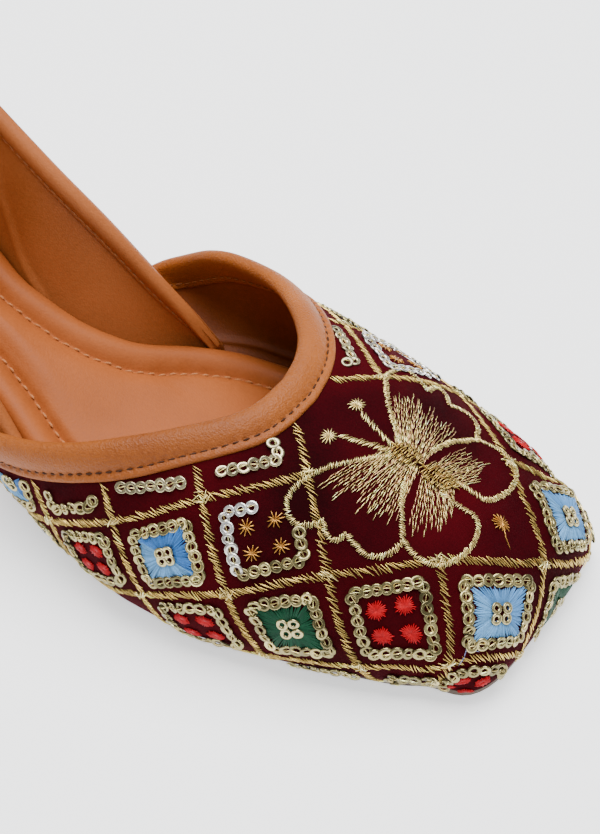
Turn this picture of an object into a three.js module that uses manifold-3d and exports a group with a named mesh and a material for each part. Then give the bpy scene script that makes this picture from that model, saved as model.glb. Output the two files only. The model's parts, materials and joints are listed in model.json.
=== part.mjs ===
import * as THREE from 'three';
import Module from 'manifold-3d';

// Heeled mojari shoe, right foot, in millimetres. +X points to the toe, +Y to the inner side, +Z up.
// The origin is the middle of the heel's rest face on the floor.

// Driving sizes
const shoeLength = 239; // heel back to toe end, along the floor
const ballWidth = 94; // outside of the upper over the ball of the foot
const heelHeight = 45; // floor to the sole's underside at the middle of the seat
const instepHeight = 46; // top of the sole to the vamp's ridge at the throat
const toeDepth = 14.6; // length of the blunt toe in front of its last upright section
const toeSpring = 2.5; // lift of the toe's tip above the flat tread
const toeSwing = 2.8; // inner side of the toe ahead of its middle, and outer side behind it
const soleThickness = 2.8;
const soleInset = 0.5; // sole's edge inside the upper's foot line
const vampWall = 1.8;
const quarterWall = 1.8;
const quarterHeight = 57; // top of the sole to the topline at the heel's back
const bindingWidth = 8.4;
const bindingThickness = 4.2;
const bindingStep = 0.5; // binding's middle outside the middle of the vamp's wall
const collarWidth = 5;
const collarThickness = 4.4;
const insoleThickness = 6.5;
const insoleCrown = 1.6; // how much the padded middle stands above the insole's roll
const insoleEdge = 0.45; // insole's height at its very edge, as a share of its thickness
const heelSeatLength = 52; // heel block along the sole
const heelTopLength = 40; // heel block at its lower end
const heelTopWidth = 42;
const heelBackRake = 5; // heel's lower end forward of the shoe's back
const heelInset = 1; // heel block inside the foot line at the seat
const topPieceThickness = 5;
const footLap = 0.6; // quarter's foot sewn into the vamp's inside at the sole
const clearance = 0.3; // between pieces that touch

// Heel block's middle on the floor is the origin
const heelBackX = -(heelBackRake + heelTopLength / 2);
const halfBall = ballWidth / 2;
const heelRadiusShare = 0.113; // the round heel begins at this share of the length
const toeShare = 1 - toeDepth / shoeLength;

// Rise of the sole's underside, as a share of the heel height
const shank = [
  { share: 0.0, rise: 1.05 },
  { share: 0.1, rise: 1.0 },
  { share: 0.21, rise: 0.83 },
  { share: 0.32, rise: 0.575 },
  { share: 0.42, rise: 0.33 },
  { share: 0.52, rise: 0.11 },
  { share: 0.6, rise: 0.015 },
  { share: 0.64, rise: 0.0 },
  { share: 1.0, rise: 0.0 },
];

// Foot line of the upper on the sole, near (outer) and far (inner) side, shares of half the ball width
const footLine = [
  { share: 0.113, near: 0.575, far: 0.565 },
  { share: 0.172, near: 0.555, far: 0.53 },
  { share: 0.234, near: 0.51, far: 0.462 },
  { share: 0.293, near: 0.468, far: 0.4 },
  { share: 0.347, near: 0.457, far: 0.33 },
  { share: 0.4, near: 0.52, far: 0.345 },
  { share: 0.456, near: 0.63, far: 0.44 },
  { share: 0.515, near: 0.73, far: 0.7 },
  { share: 0.573, near: 0.81, far: 0.86 },
  { share: 0.632, near: 0.882, far: 0.915 },
  { share: 0.682, near: 0.91, far: 0.925 },
  { share: 0.736, near: 0.895, far: 0.905 },
  { share: 0.8, near: 0.82, far: 0.85 },
  { share: 0.874, near: 0.72, far: 0.755 },
  { share: 0.908, near: 0.67, far: 0.7 },
  { share: 0.937, near: 0.602, far: 0.672 },
];

// Vamp sections. Bellies are shares of half the ball width, the belly's rise and the crowns shares
// of the instep height. Behind the throat the crown is only the shape that the wings lean to.
const vampSections = [
  { share: 0.34, near: 0.56, far: 0.5, rise: 0.2, nearCrown: 0.9, farCrown: 1.2 },
  { share: 0.37, near: 0.62, far: 0.58, rise: 0.22, nearCrown: 0.95, farCrown: 1.2 },
  { share: 0.43, near: 0.79, far: 0.83, rise: 0.25, nearCrown: 1.05, farCrown: 1.27 },
  { share: 0.49, near: 0.87, far: 0.915, rise: 0.25, nearCrown: 1.12, farCrown: 1.29 },
  { share: 0.573, near: 0.96, far: 0.98, rise: 0.23, nearCrown: 1.14, farCrown: 1.2 },
  { share: 0.632, near: 1.0, far: 1.01, rise: 0.21, nearCrown: 1.08, farCrown: 1.09 },
  { share: 0.699, near: 1.0, far: 0.98, rise: 0.2, nearCrown: 1.01, farCrown: 1.01 },
  { share: 0.736, near: 0.96, far: 0.97, rise: 0.19, nearCrown: 0.95, farCrown: 0.95 },
  { share: 0.8, near: 0.9, far: 0.915, rise: 0.18, nearCrown: 0.88, farCrown: 0.88 },
  { share: 0.874, near: 0.79, far: 0.85, rise: 0.17, nearCrown: 0.705, farCrown: 0.705 },
  { share: 0.908, near: 0.725, far: 0.795, rise: 0.17, nearCrown: 0.64, farCrown: 0.64 },
  { share: 0.937, near: 0.65, far: 0.71, rise: 0.13, nearCrown: 0.525, farCrown: 0.525 },
];

// Blunt toe, turned from the last upright section down to the level sole about an axis across the
// shoe. The reach goes from the section's height (0) to the toe's depth (1).
const toeTurns = [
  { turn: 0.0, reach: 0.0, square: 2.1 },
  { turn: 0.15, reach: 0.33, square: 2.3 },
  { turn: 0.33, reach: 0.52, square: 2.2 },
  { turn: 0.5, reach: 0.72, square: 2.6 },
  { turn: 0.75, reach: 0.9, square: 3.3 },
  { turn: 1.0, reach: 1.0, square: 4.0 },
];

// Vamp topline: how far up its half section the edge lies, from the sole (0) to the ridge (1)
const vampTopline = [
  { share: 0.35, near: 0.0, far: 0.0 },
  { share: 0.37, near: 0.09, far: 0.03 },
  { share: 0.395, near: 0.18, far: 0.11 },
  { share: 0.422, near: 0.26, far: 0.235 },
  { share: 0.456, near: 0.33, far: 0.32 },
  { share: 0.49, near: 0.39, far: 0.375 },
  { share: 0.53, near: 0.46, far: 0.43 },
  { share: 0.573, near: 0.54, far: 0.485 },
  { share: 0.615, near: 0.63, far: 0.57 },
  { share: 0.645, near: 0.7, far: 0.66 },
  { share: 0.67, near: 0.765, far: 0.745 },
  { share: 0.688, near: 0.83, far: 0.83 },
  { share: 0.698, near: 0.905, far: 0.915 },
  { share: 0.702, near: 1.0, far: 1.0 },
];

// Quarter: top edge above the sole as shares of its height at the back, and out from the middle
// as shares of half the ball width
const quarterTop = [
  { share: 0.113, near: 0.56, far: 0.57, nearRise: 0.9, farRise: 0.92 },
  { share: 0.2, near: 0.56, far: 0.565, nearRise: 0.82, farRise: 0.87 },
  { share: 0.293, near: 0.56, far: 0.56, nearRise: 0.62, farRise: 0.745 },
  { share: 0.35, near: 0.57, far: 0.565, nearRise: 0.46, farRise: 0.655 },
  { share: 0.41, near: 0.6, far: 0.59, nearRise: 0.28, farRise: 0.55 },
  { share: 0.46, near: 0.66, far: 0.625, nearRise: 0.14, farRise: 0.42 },
  { share: 0.5, near: 0.71, far: 0.67, nearRise: 0.1, farRise: 0.285 },
  { share: 0.535, near: 0.75, far: 0.71, nearRise: 0.09, farRise: 0.13 },
];
const quarterFront = { near: 0.455, far: 0.535 }; // shares of the length where the top edge ends
const quarterBelly = 0.05; // outward swell of the quarter, as a share of half the ball width
const quarterLean = 0.88; // topline's reach behind the round heel's middle, as a share of the foot line's
const lowQuarter = 0.44; // parts of the quarter lower than this share of its height swell less

const lerp = (a, b, t) => a + (b - a) * t;
const clamp = (v, lo, hi) => Math.min(hi, Math.max(lo, v));

// Smooth curve through one column of a table, without overshoot
function curveThrough(rows, key, column) {
  const x = rows.map((row) => row[key]);
  const y = rows.map((row) => row[column]);
  const n = x.length;
  const rise = [];
  for (let i = 0; i < n - 1; i += 1) rise.push((y[i + 1] - y[i]) / (x[i + 1] - x[i]));
  const slope = [rise[0]];
  for (let i = 1; i < n - 1; i += 1) {
    const flat = rise[i - 1] * rise[i] <= 0;
    slope.push(flat ? 0 : (2 * rise[i - 1] * rise[i]) / (rise[i - 1] + rise[i]));
  }
  slope.push(rise[n - 2]);
  return (at) => {
    const v = clamp(at, x[0], x[n - 1]);
    let i = 0;
    while (i < n - 2 && v > x[i + 1]) i += 1;
    const width = x[i + 1] - x[i];
    const t = (v - x[i]) / width;
    const a = y[i] * (1 + 2 * t) * (1 - t) ** 2 + slope[i] * width * t * (1 - t) ** 2;
    const b = y[i + 1] * t * t * (3 - 2 * t) - slope[i + 1] * width * t * t * (1 - t);
    return a + b;
  };
}

const shankRise = curveThrough(shank, 'share', 'rise');
const foot = { near: curveThrough(footLine, 'share', 'near'), far: curveThrough(footLine, 'share', 'far') };
const belly = { near: curveThrough(vampSections, 'share', 'near'), far: curveThrough(vampSections, 'share', 'far') };
const bellyRise = curveThrough(vampSections, 'share', 'rise');
const wingCrown = {
  near: curveThrough(vampSections, 'share', 'nearCrown'),
  far: curveThrough(vampSections, 'share', 'farCrown'),
};
const throatShare = vampTopline[vampTopline.length - 1].share;
const crownOf = (side, share) => wingCrown[share < throatShare ? side : 'near'](share);
const reachOf = curveThrough(toeTurns, 'turn', 'reach');
const squareOf = curveThrough(toeTurns, 'turn', 'square');
const vampEdge = { near: curveThrough(vampTopline, 'share', 'near'), far: curveThrough(vampTopline, 'share', 'far') };
const topOut = { near: curveThrough(quarterTop, 'share', 'near'), far: curveThrough(quarterTop, 'share', 'far') };
const topRise = {
  near: curveThrough(quarterTop, 'share', 'nearRise'),
  far: curveThrough(quarterTop, 'share', 'farRise'),
};
const sideSign = { near: -1, far: 1 };

const xAt = (share) => heelBackX + share * shoeLength;
const shareOfX = (x) => (x - heelBackX) / shoeLength;

// Underside of the outsole, with the toe lifted a little in front of the flat tread
function underside(share) {
  const lift = clamp((share - 0.88) / 0.12, 0, 1);
  return heelHeight * shankRise(share) + toeSpring * lift * lift;
}

const soleTop = (share) => underside(share) + soleThickness;
const footZ = (share) => soleTop(share) + clearance;

const endSliver = 0.002; // keeps the ends of a plate from closing to a line
const ridgeWidth = 0.01; // points nearer the middle than this lie on the ridge
const wingLift = 4.0; // height of the vamp's wing at its back end, below the binding

// Half outline of the foot line, drawn in by inset, along X. Round heel and squarish toe included.
function outlineHalf(side, share, inset) {
  if (share < heelRadiusShare) {
    const width = halfBall * foot[side](heelRadiusShare) - inset;
    const depth = heelRadiusShare * shoeLength - inset;
    const t = clamp(((heelRadiusShare - share) * shoeLength) / depth, 0, 1);
    return width * Math.sqrt(Math.max(1 - t * t, endSliver));
  }
  if (share > toeShare) {
    const width = halfBall * foot[side](toeShare) - inset;
    const depth = toeDepth - inset;
    const power = squareOf(1);
    const t = clamp(((share - toeShare) * shoeLength) / depth, 0, 1);
    return width * Math.max(1 - t ** power, endSliver) ** (1 / power);
  }
  return halfBall * foot[side](share) - inset;
}

// One half section of the vamp as a list of points, from the foot line up to the ridge.
// A row is a share of the length, or a turn of the toe's axis past the last upright section.
const sectionSteps = 80;
const lowPart = 0.2; // part of a half section's steps below its belly
function halfSection(row, side, inset) {
  const share = Math.min(row.share, toeShare);
  const turn = row.turn;
  const angle = (turn * Math.PI) / 2;
  const upright = Math.cos(angle) ** 2;
  const footY = halfBall * foot[side](share);
  const swell = halfBall * (belly[side](share) - foot[side](share)) * upright;
  const low = instepHeight * bellyRise(share) * upright;
  const reach = lerp(instepHeight * crownOf(side, share), toeDepth, reachOf(turn));
  const power = 2 / squareOf(turn);
  const profile = [];
  for (let i = 0; i <= sectionSteps; i += 1) {
    const t = i / sectionSteps;
    if (t < lowPart) {
      const a = ((t / lowPart) * Math.PI) / 2;
      profile.push(new THREE.Vector2(footY + swell * Math.sin(a), low * (1 - Math.cos(a))));
    } else {
      const a = (((t - lowPart) / (1 - lowPart)) * Math.PI) / 2;
      const out = (footY + swell) * Math.max(Math.cos(a), 0) ** power;
      profile.push(new THREE.Vector2(out, low + (reach - low) * Math.sin(a) ** power));
    }
  }
  return profile.map((p, i) => {
    const t = i / sectionSteps;
    const along = profile[Math.min(i + 1, sectionSteps)].clone().sub(profile[Math.max(i - 1, 0)]);
    const inward = new THREE.Vector2(-along.y, along.x).normalize();
    if (t < lowPart) inward.lerp(new THREE.Vector2(-1, 0), 1 - t / lowPart).normalize();
    if (i === sectionSteps) inward.set(0, -1);
    const y = Math.max(p.x + inward.x * inset, 0);
    const r = p.y + inward.y * inset;
    const x = xAt(share) + r * Math.sin(angle);
    const floor = footZ(Math.min(shareOfX(x), 1));
    return new THREE.Vector3(x, sideSign[side] * y, floor + r * Math.cos(angle));
  });
}

const pathLength = (points) => points.slice(1).reduce((sum, p, i) => sum + p.distanceTo(points[i]), 0);

// Place in a list of points at a distance along it, as a number between list positions
function placeAlong(points, distance) {
  let left = Math.max(distance, 0);
  for (let i = 1; i < points.length; i += 1) {
    const step = points[i].distanceTo(points[i - 1]);
    if (left <= step && step > 0) return i - 1 + left / step;
    left -= step;
  }
  return points.length - 1;
}

function pointAt(points, place) {
  const i = Math.min(Math.floor(place), points.length - 2);
  return points[i].clone().lerp(points[i + 1], place - i);
}

const pointAlong = (points, distance) => pointAt(points, placeAlong(points, distance));

// The toe swings to the inner side, so everything in front of the binding leans with it
function swung(point) {
  const ahead = clamp((shareOfX(point.x) - 0.75) / 0.25, 0, 1);
  const shift = (toeSwing * ahead * ahead * point.y) / (halfBall * 0.6);
  return new THREE.Vector3(point.x + shift, point.y, point.z);
}

// Triangles are collected as corner triples, then welded into one closed skin
function newSkin() {
  return { corners: [] };
}

function addTriangle(skin, a, b, c) {
  skin.corners.push(swung(a), swung(b), swung(c));
}

function addQuad(skin, a, b, c, d) {
  addTriangle(skin, a, b, c);
  addTriangle(skin, a, c, d);
}

// Strip of quads over a grid of rows; flip turns its faces round
function addGrid(skin, grid, flip) {
  for (let i = 0; i < grid.length - 1; i += 1) {
    for (let k = 0; k < grid[i].length - 1; k += 1) {
      const quad = [grid[i][k], grid[i + 1][k], grid[i + 1][k + 1], grid[i][k + 1]];
      if (flip) quad.reverse();
      addQuad(skin, ...quad);
    }
  }
}

function skinGeometry(skin) {
  const keyOf = (p) => [p.x, p.y, p.z].map((v) => Math.round(v * 2000)).join();
  const places = new Map();
  const position = [];
  const index = [];
  for (let i = 0; i < skin.corners.length; i += 3) {
    const ids = skin.corners.slice(i, i + 3).map((p) => {
      const key = keyOf(p);
      if (!places.has(key)) {
        places.set(key, places.size);
        position.push(p.x, p.y, p.z);
      }
      return places.get(key);
    });
    if (new Set(ids).size === 3) index.push(...ids);
  }
  const geometry = new THREE.BufferGeometry();
  geometry.setAttribute('position', new THREE.Float32BufferAttribute(position, 3));
  geometry.setIndex(index);
  return geometry;
}

// Closed skin between an outer and an inner grid of the same size
function shellSkin(outer, inner) {
  const skin = newSkin();
  addGrid(skin, outer, false);
  addGrid(skin, inner, true);
  const last = outer.length - 1;
  const end = outer[0].length - 1;
  for (let i = 0; i < last; i += 1) {
    addQuad(skin, inner[i][0], inner[i + 1][0], outer[i + 1][0], outer[i][0]);
    addQuad(skin, outer[i][end], outer[i + 1][end], inner[i + 1][end], inner[i][end]);
  }
  for (let k = 0; k < end; k += 1) {
    addQuad(skin, outer[0][k], outer[0][k + 1], inner[0][k + 1], inner[0][k]);
    addQuad(skin, inner[last][k], inner[last][k + 1], outer[last][k + 1], outer[last][k]);
  }
  return skin;
}

const weldLimit = 0.02; // shortest edge kept where two bodies are joined
const wasm = await Module();
wasm.setup();

function toSolid(geometry) {
  return new wasm.Manifold(
    new wasm.Mesh({
      numProp: 3,
      vertProperties: new Float32Array(geometry.attributes.position.array),
      triVerts: new Uint32Array(geometry.index.array),
    }),
  );
}

function toGeometry(solid) {
  const mesh = solid.simplify(weldLimit).getMesh();
  const geometry = new THREE.BufferGeometry();
  geometry.setAttribute('position', new THREE.BufferAttribute(mesh.vertProperties, 3));
  geometry.setIndex(new THREE.BufferAttribute(mesh.triVerts, 1));
  return geometry;
}

// Vamp topline and the line where the binding's outer edge lies, one half at a time.
// Both are kept as shares of the length against arc lengths from the foot line.
function edgeLines(side) {
  const steps = 40;
  const top = [];
  const first = vampTopline[0].share;
  const last = vampTopline[vampTopline.length - 1].share;
  for (let i = 0; i <= steps; i += 1) {
    const t = 1 - (1 - i / steps) ** 2;
    const share = lerp(first, last, t);
    const full = pathLength(halfSection({ share, turn: 0 }, side, 0));
    top.push(new THREE.Vector2(xAt(share), full * vampEdge[side](share)));
  }
  const width = bindingWidth + clearance;
  const band = top.map((p, i) => {
    const before = top[Math.max(i - 1, 0)];
    const after = top[Math.min(i + 1, steps)];
    const along = after.clone().sub(before).normalize();
    if (i === steps) along.set(0, 1);
    return new THREE.Vector2(p.x + along.y * width, p.y - along.x * width);
  });
  return { top, band };
}

const edges = { near: edgeLines('near'), far: edgeLines('far') };

// Arc length from the foot line at which the upper's own edge lies, under the binding's edge
function bandArc(side, share) {
  const x = xAt(share);
  const line = edges[side].band;
  const full = pathLength(halfSection({ share, turn: 0 }, side, 0));
  if (x >= line[line.length - 1].x) return full;
  for (let i = line.length - 1; i > 0; i -= 1) {
    if (line[i - 1].x <= x && x <= line[i].x) {
      const t = (x - line[i - 1].x) / Math.max(line[i].x - line[i - 1].x, 1e-6);
      return clamp(lerp(line[i - 1].y, line[i].y, t) - clearance, 0, full);
    }
  }
  return 0;
}

// Share of the length at which the binding's outer edge rises off the sole
function wingStart(side) {
  const { band } = edges[side];
  const i = band.findIndex((p, k) => k > 0 && p.y > wingLift && band[k - 1].y <= wingLift);
  const t = (wingLift - band[i - 1].y) / (band[i].y - band[i - 1].y);
  return shareOfX(lerp(band[i - 1].x, band[i].x, t));
}

// Rows of the vamp's half from the wing end to the front of the toe
function vampRows(side) {
  const rows = [];
  const bandFront = shareOfX(edges[side].band[edges[side].band.length - 1].x);
  const wingSteps = 17;
  for (let i = 0; i < wingSteps; i += 1) {
    const t = 1 - (1 - i / wingSteps) ** 1.7;
    rows.push({ share: lerp(wingStart(side), bandFront, t), turn: 0 });
  }
  const topSteps = 8;
  for (let i = 0; i <= topSteps; i += 1) rows.push({ share: lerp(bandFront, toeShare, i / topSteps), turn: 0 });
  const toeSteps = 8;
  for (let i = 1; i <= toeSteps; i += 1) rows.push({ share: toeShare, turn: i / toeSteps });
  return rows;
}

const halfColumns = 12;
function vampGrid(side, inset) {
  return vampRows(side).map((row) => {
    const outer = halfSection(row, side, 0);
    const points = halfSection(row, side, inset);
    const full = pathLength(outer);
    const arc = row.turn > 0 ? full : bandArc(side, row.share);
    const line = [];
    for (let k = 0; k <= halfColumns; k += 1) {
      line.push(pointAt(points, placeAlong(outer, (arc * k) / halfColumns)));
    }
    return line;
  });
}

// Both halves meet on the ridge in front of the throat and are open along the binding behind it
function vampGeometry() {
  const skin = newSkin();
  for (const side of ['near', 'far']) {
    const outer = vampGrid(side, 0);
    const inner = vampGrid(side, vampWall);
    const last = outer.length - 1;
    const end = halfColumns;
    const turned = side === 'far';
    const quad = (a, b, c, d) => (turned ? addQuad(skin, d, c, b, a) : addQuad(skin, a, b, c, d));
    addGrid(skin, outer, turned);
    addGrid(skin, inner, !turned);
    for (let i = 0; i < last; i += 1) {
      quad(inner[i][0], inner[i + 1][0], outer[i + 1][0], outer[i][0]);
      const onRidge = Math.abs(outer[i][end].y) < ridgeWidth && Math.abs(outer[i + 1][end].y) < ridgeWidth;
      if (!onRidge) quad(outer[i][end], outer[i + 1][end], inner[i + 1][end], inner[i][end]);
    }
    for (let k = 0; k < end; k += 1) {
      quad(outer[0][k], outer[0][k + 1], inner[0][k + 1], inner[0][k]);
      quad(inner[last][k], inner[last][k + 1], outer[last][k + 1], outer[last][k]);
    }
  }
  return skinGeometry(skin);
}

// Quarter: one upright run of points from the foot line to the top edge, at a place along its path.
// The path goes from the outer side's front end round the heel to the inner side's.
function quarterPlace(t) {
  const sideShare = 0.36;
  if (t < sideShare) {
    return { side: 'near', share: lerp(quarterFront.near, heelRadiusShare, t / sideShare), turn: 0 };
  }
  if (t > 1 - sideShare) {
    const forward = (t - 1 + sideShare) / sideShare;
    return { side: 'far', share: lerp(heelRadiusShare, quarterFront.far, forward), turn: 0 };
  }
  const turn = (t - sideShare) / (1 - 2 * sideShare);
  return { side: turn < 0.5 ? 'near' : 'far', share: heelRadiusShare, turn };
}

const wallEase = 0.6; // how early the quarter's wall turns from its foot towards its top edge
function quarterRun(t, inset) {
  const place = quarterPlace(t);
  const { side, share, turn } = place;
  const out = sideSign[side];
  const footInset = vampWall - footLap + inset;
  const baseHalf = halfBall * foot[side](share) - footInset;
  const topHalf = halfBall * topOut[side](share) - inset;
  let baseX = xAt(share);
  let baseY = out * baseHalf;
  let topX = baseX;
  let topY = out * topHalf;
  let baseZ = footZ(share);
  let height = quarterHeight * topRise[side](share);
  let swell = halfBall * quarterBelly;
  let swellX = 0;
  let swellY = out;
  if (turn > 0 && turn < 1) {
    const angle = Math.PI * turn;
    const back = heelRadiusShare * shoeLength;
    const blend = (1 - Math.cos(angle)) / 2;
    const near = halfBall * foot.near(share) - footInset;
    const far = halfBall * foot.far(share) - footInset;
    const topNear = halfBall * topOut.near(share) - inset;
    const topFar = halfBall * topOut.far(share) - inset;
    baseX = xAt(share) - (back - footInset) * Math.sin(angle);
    baseY = -Math.cos(angle) * (turn < 0.5 ? near : far);
    topX = xAt(share) - (back * quarterLean - inset) * Math.sin(angle);
    topY = -Math.cos(angle) * (turn < 0.5 ? topNear : topFar);
    const here = share - (baseX < xAt(share) ? (xAt(share) - baseX) / shoeLength : 0);
    baseZ = footZ(Math.max(here, 0));
    const sideHeight = quarterHeight * lerp(topRise.near(share), topRise.far(share), blend) + footZ(share);
    const backHeight = quarterHeight + footZ(0);
    height = lerp(sideHeight, backHeight, Math.sin(angle)) - baseZ;
    swellX = -Math.sin(angle);
    swellY = -Math.cos(angle);
    swell = halfBall * quarterBelly * (1 + Math.sin(angle));
  }
  const points = [];
  const steps = 16;
  for (let i = 0; i <= steps; i += 1) {
    const h = i / steps;
    const bow = swell * Math.sin(Math.PI * h ** 0.75) * clamp(height / (quarterHeight * lowQuarter), 0, 1);
    const ease = h * h * (1 + wallEase * (1 - h));
    points.push(
      new THREE.Vector3(
        lerp(baseX, topX, ease) + swellX * bow,
        lerp(baseY, topY, ease) + swellY * bow,
        baseZ + height * h,
      ),
    );
  }
  return points;
}

const quarterSteps = 44;
function quarterGrid(inset) {
  const grid = [];
  const columns = 9;
  for (let i = 0; i <= quarterSteps; i += 1) {
    const t = i / quarterSteps;
    const outer = quarterRun(t, 0);
    const run = quarterRun(t, inset);
    const span = Math.max(pathLength(outer) - collarWidth - clearance, quarterWall);
    const row = [];
    for (let k = 0; k <= columns; k += 1) row.push(pointAt(run, placeAlong(outer, (span * k) / columns)));
    grid.push(row);
  }
  return grid;
}

function quarterGeometry() {
  return skinGeometry(shellSkin(quarterGrid(quarterWall), quarterGrid(0)));
}

// Rolled leather edge: a rounded section swept along an edge line, thinned to the wall at both ends.
// Each station has its top edge point and the point on the surface where its outer edge lies.
// The outer side stands further off the wall than the inner side by twice the given offset.
const rollTaper = 26;
function rolledEdge(tops, outers, thickness, wall, offset) {
  const walked = [0];
  for (let i = 1; i < tops.length; i += 1) walked.push(walked[i - 1] + tops[i].distanceTo(tops[i - 1]));
  const total = walked[walked.length - 1];
  return tops.map((top, i) => {
    const before = tops[Math.max(i - 1, 0)];
    const after = tops[Math.min(i + 1, tops.length - 1)];
    const along = after.clone().sub(before).normalize();
    const across = outers[i].clone().sub(top);
    const width = across.length() - 2 * clearance;
    across.normalize();
    const normal = new THREE.Vector3().crossVectors(across, along).normalize();
    const full = clamp(Math.min(walked[i], total - walked[i]) / rollTaper, 0, 1);
    const thick = lerp(wall - 2 * clearance, thickness, full);
    const centre = top.clone().addScaledVector(across, width / 2);
    centre.addScaledVector(normal, offset * full - wall / 2);
    const loop = [];
    const sides = 10;
    for (let k = 0; k < sides; k += 1) {
      const a = (2 * Math.PI * k) / sides;
      const round = 0.7;
      const u = Math.sign(Math.cos(a)) * Math.abs(Math.cos(a)) ** round * (width / 2);
      const v = Math.sign(Math.sin(a)) * Math.abs(Math.sin(a)) ** round * (thick / 2);
      loop.push(centre.clone().addScaledVector(across, u).addScaledVector(normal, v));
    }
    return loop;
  });
}

function tubeGeometry(loops) {
  const skin = newSkin();
  const closed = loops.map((loop) => [...loop, loop[0]]);
  addGrid(skin, closed, false);
  for (const [loop, flip] of [[loops[0], false], [loops[loops.length - 1], true]]) {
    for (let k = 1; k < loop.length - 1; k += 1) {
      const corners = [loop[0], loop[k], loop[k + 1]];
      if (flip) corners.reverse();
      addTriangle(skin, ...corners);
    }
  }
  return skinGeometry(skin);
}

function onVamp(side, x, arc) {
  return pointAlong(halfSection({ share: shareOfX(x), turn: 0 }, side, 0), arc);
}

function vampBindingGeometry() {
  const pairs = { near: [], far: [] };
  for (const side of ['near', 'far']) {
    const { top, band } = edges[side];
    for (let i = 2; i < top.length; i += 1) {
      const cut = band[i].y < 0 ? top[i].y / (top[i].y - band[i].y) : 1; // stop at the sole
      const edge = top[i].clone().lerp(band[i], cut);
      pairs[side].push([onVamp(side, top[i].x, top[i].y), onVamp(side, edge.x, edge.y)]);
    }
  }
  const path = [...pairs.near, ...pairs.far.reverse().slice(1)];
  const tops = path.map((pair) => pair[0]);
  const outers = path.map((pair) => pair[1]);
  return tubeGeometry(rolledEdge(tops, outers, bindingThickness, vampWall, bindingStep));
}

function quarterBindingGeometry() {
  const tops = [];
  const outers = [];
  for (let i = 0; i <= quarterSteps; i += 1) {
    const run = quarterRun(i / quarterSteps, 0);
    const full = pathLength(run);
    tops.push(pointAlong(run, full));
    outers.push(pointAlong(run, Math.max(full - collarWidth - clearance, quarterWall / 2)));
  }
  return tubeGeometry(rolledEdge(tops, outers, collarThickness, quarterWall, 0));
}

// Shares along the length, crowded at the round heel and at the toe
function plateShares(steps) {
  const shares = [];
  for (let i = 0; i <= steps; i += 1) {
    const t = i / steps;
    shares.push(t - (Math.sin(2 * Math.PI * t) / (2 * Math.PI)) * 0.82);
  }
  return shares;
}

// A plate between two surfaces over the foot outline, drawn in by inset
function plateGeometry(inset, columns, lower, upper) {
  const endShare = inset / shoeLength;
  const grids = [lower, upper].map((height) =>
    plateShares(44).map((t) => {
      const share = lerp(endShare, 1 - endShare, t);
      const near = -outlineHalf('near', share, inset);
      const far = outlineHalf('far', share, inset);
      const row = [];
      for (let k = 0; k <= columns; k += 1) {
        const across = k / columns;
        const y = lerp(near, far, across);
        row.push(new THREE.Vector3(xAt(share), y, height(share, across)));
      }
      return row;
    }),
  );
  return skinGeometry(shellSkin(grids[1], grids[0]));
}

function outsoleGeometry() {
  return plateGeometry(soleInset, 6, underside, soleTop);
}

function insoleGeometry() {
  const inset = vampWall + quarterWall - footLap + 2.5 * clearance;
  const base = (share) => footZ(share);
  const top = (share, across) => {
    const roll = Math.sin(Math.PI * clamp(across, 0, 1));
    return footZ(share) + insoleThickness * clamp(roll * 4, insoleEdge, 1) + insoleCrown * roll;
  };
  return plateGeometry(inset, 10, base, top);
}

// Heel block and its top piece share one outline: a straight breast and a round back
function heelOutline(length, width) {
  const count = 14;
  const points = [];
  for (let i = 0; i <= count; i += 1) {
    const a = Math.PI * (i / count);
    points.push(new THREE.Vector2(-(Math.sin(a) ** 0.9), -Math.cos(a)));
  }
  const radius = width / 2;
  const straight = length - radius;
  const outline = points.map((p) => new THREE.Vector2(p.x * radius, p.y * radius));
  const side = 3;
  for (let i = 1; i <= side; i += 1) outline.push(new THREE.Vector2((straight * i) / side, radius));
  for (let i = 1; i < 6; i += 1) outline.push(new THREE.Vector2(straight, lerp(radius, -radius, i / 6)));
  for (let i = side; i >= 1; i -= 1) outline.push(new THREE.Vector2((straight * i) / side, -radius));
  return outline;
}

const seatShare = 0.14; // the heel block is as wide as the foot line at this share of the length
const heelWaist = 0.06; // how much the block draws in at half its height
function heelRings() {
  const seatWidth = halfBall * (foot.near(seatShare) + foot.far(seatShare)) - 2 * heelInset;
  const seat = heelOutline(heelSeatLength - 2 * heelInset, seatWidth);
  const base = heelOutline(heelTopLength, heelTopWidth);
  const seatX = heelBackX + seatWidth / 2 + heelInset;
  const baseX = -heelTopLength / 2 + heelTopWidth / 2;
  const levels = 9;
  const rings = [];
  for (let i = 0; i <= levels; i += 1) {
    const t = i / levels;
    const waist = Math.sin(Math.PI * t) * heelWaist;
    const ease = t ** 1.5;
    rings.push(
      base.map((low, k) => {
        const high = seat[k];
        const x = lerp(baseX + low.x, seatX + high.x, ease);
        const y = lerp(low.y, high.y, ease);
        const topZ = underside(shareOfX(seatX + high.x)) - clearance;
        const z = lerp(topPieceThickness + clearance, topZ, t);
        return new THREE.Vector3(x * (1 - waist), y * (1 - waist), z);
      }),
    );
  }
  return rings;
}

// The heel's top face follows the seat: rows across it drop onto the sole's underside
function heelBlockGeometry() {
  const rings = heelRings();
  const skin = newSkin();
  addGrid(skin, rings.map((ring) => [...ring, ring[0]]), false);
  const bottom = rings[0];
  const top = rings[rings.length - 1];
  const cap = (ring, up) => {
    const n = ring.length;
    const centre = ring.reduce((sum, p) => sum.add(p), new THREE.Vector3()).multiplyScalar(1 / n);
    if (up) centre.z = underside(shareOfX(centre.x)) - clearance;
    for (let k = 0; k < n; k += 1) {
      const corners = [centre, ring[k], ring[(k + 1) % n]];
      if (up) corners.reverse();
      addTriangle(skin, ...corners);
    }
  };
  cap(bottom, false);
  cap(top, true);
  return skinGeometry(skin);
}

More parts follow.
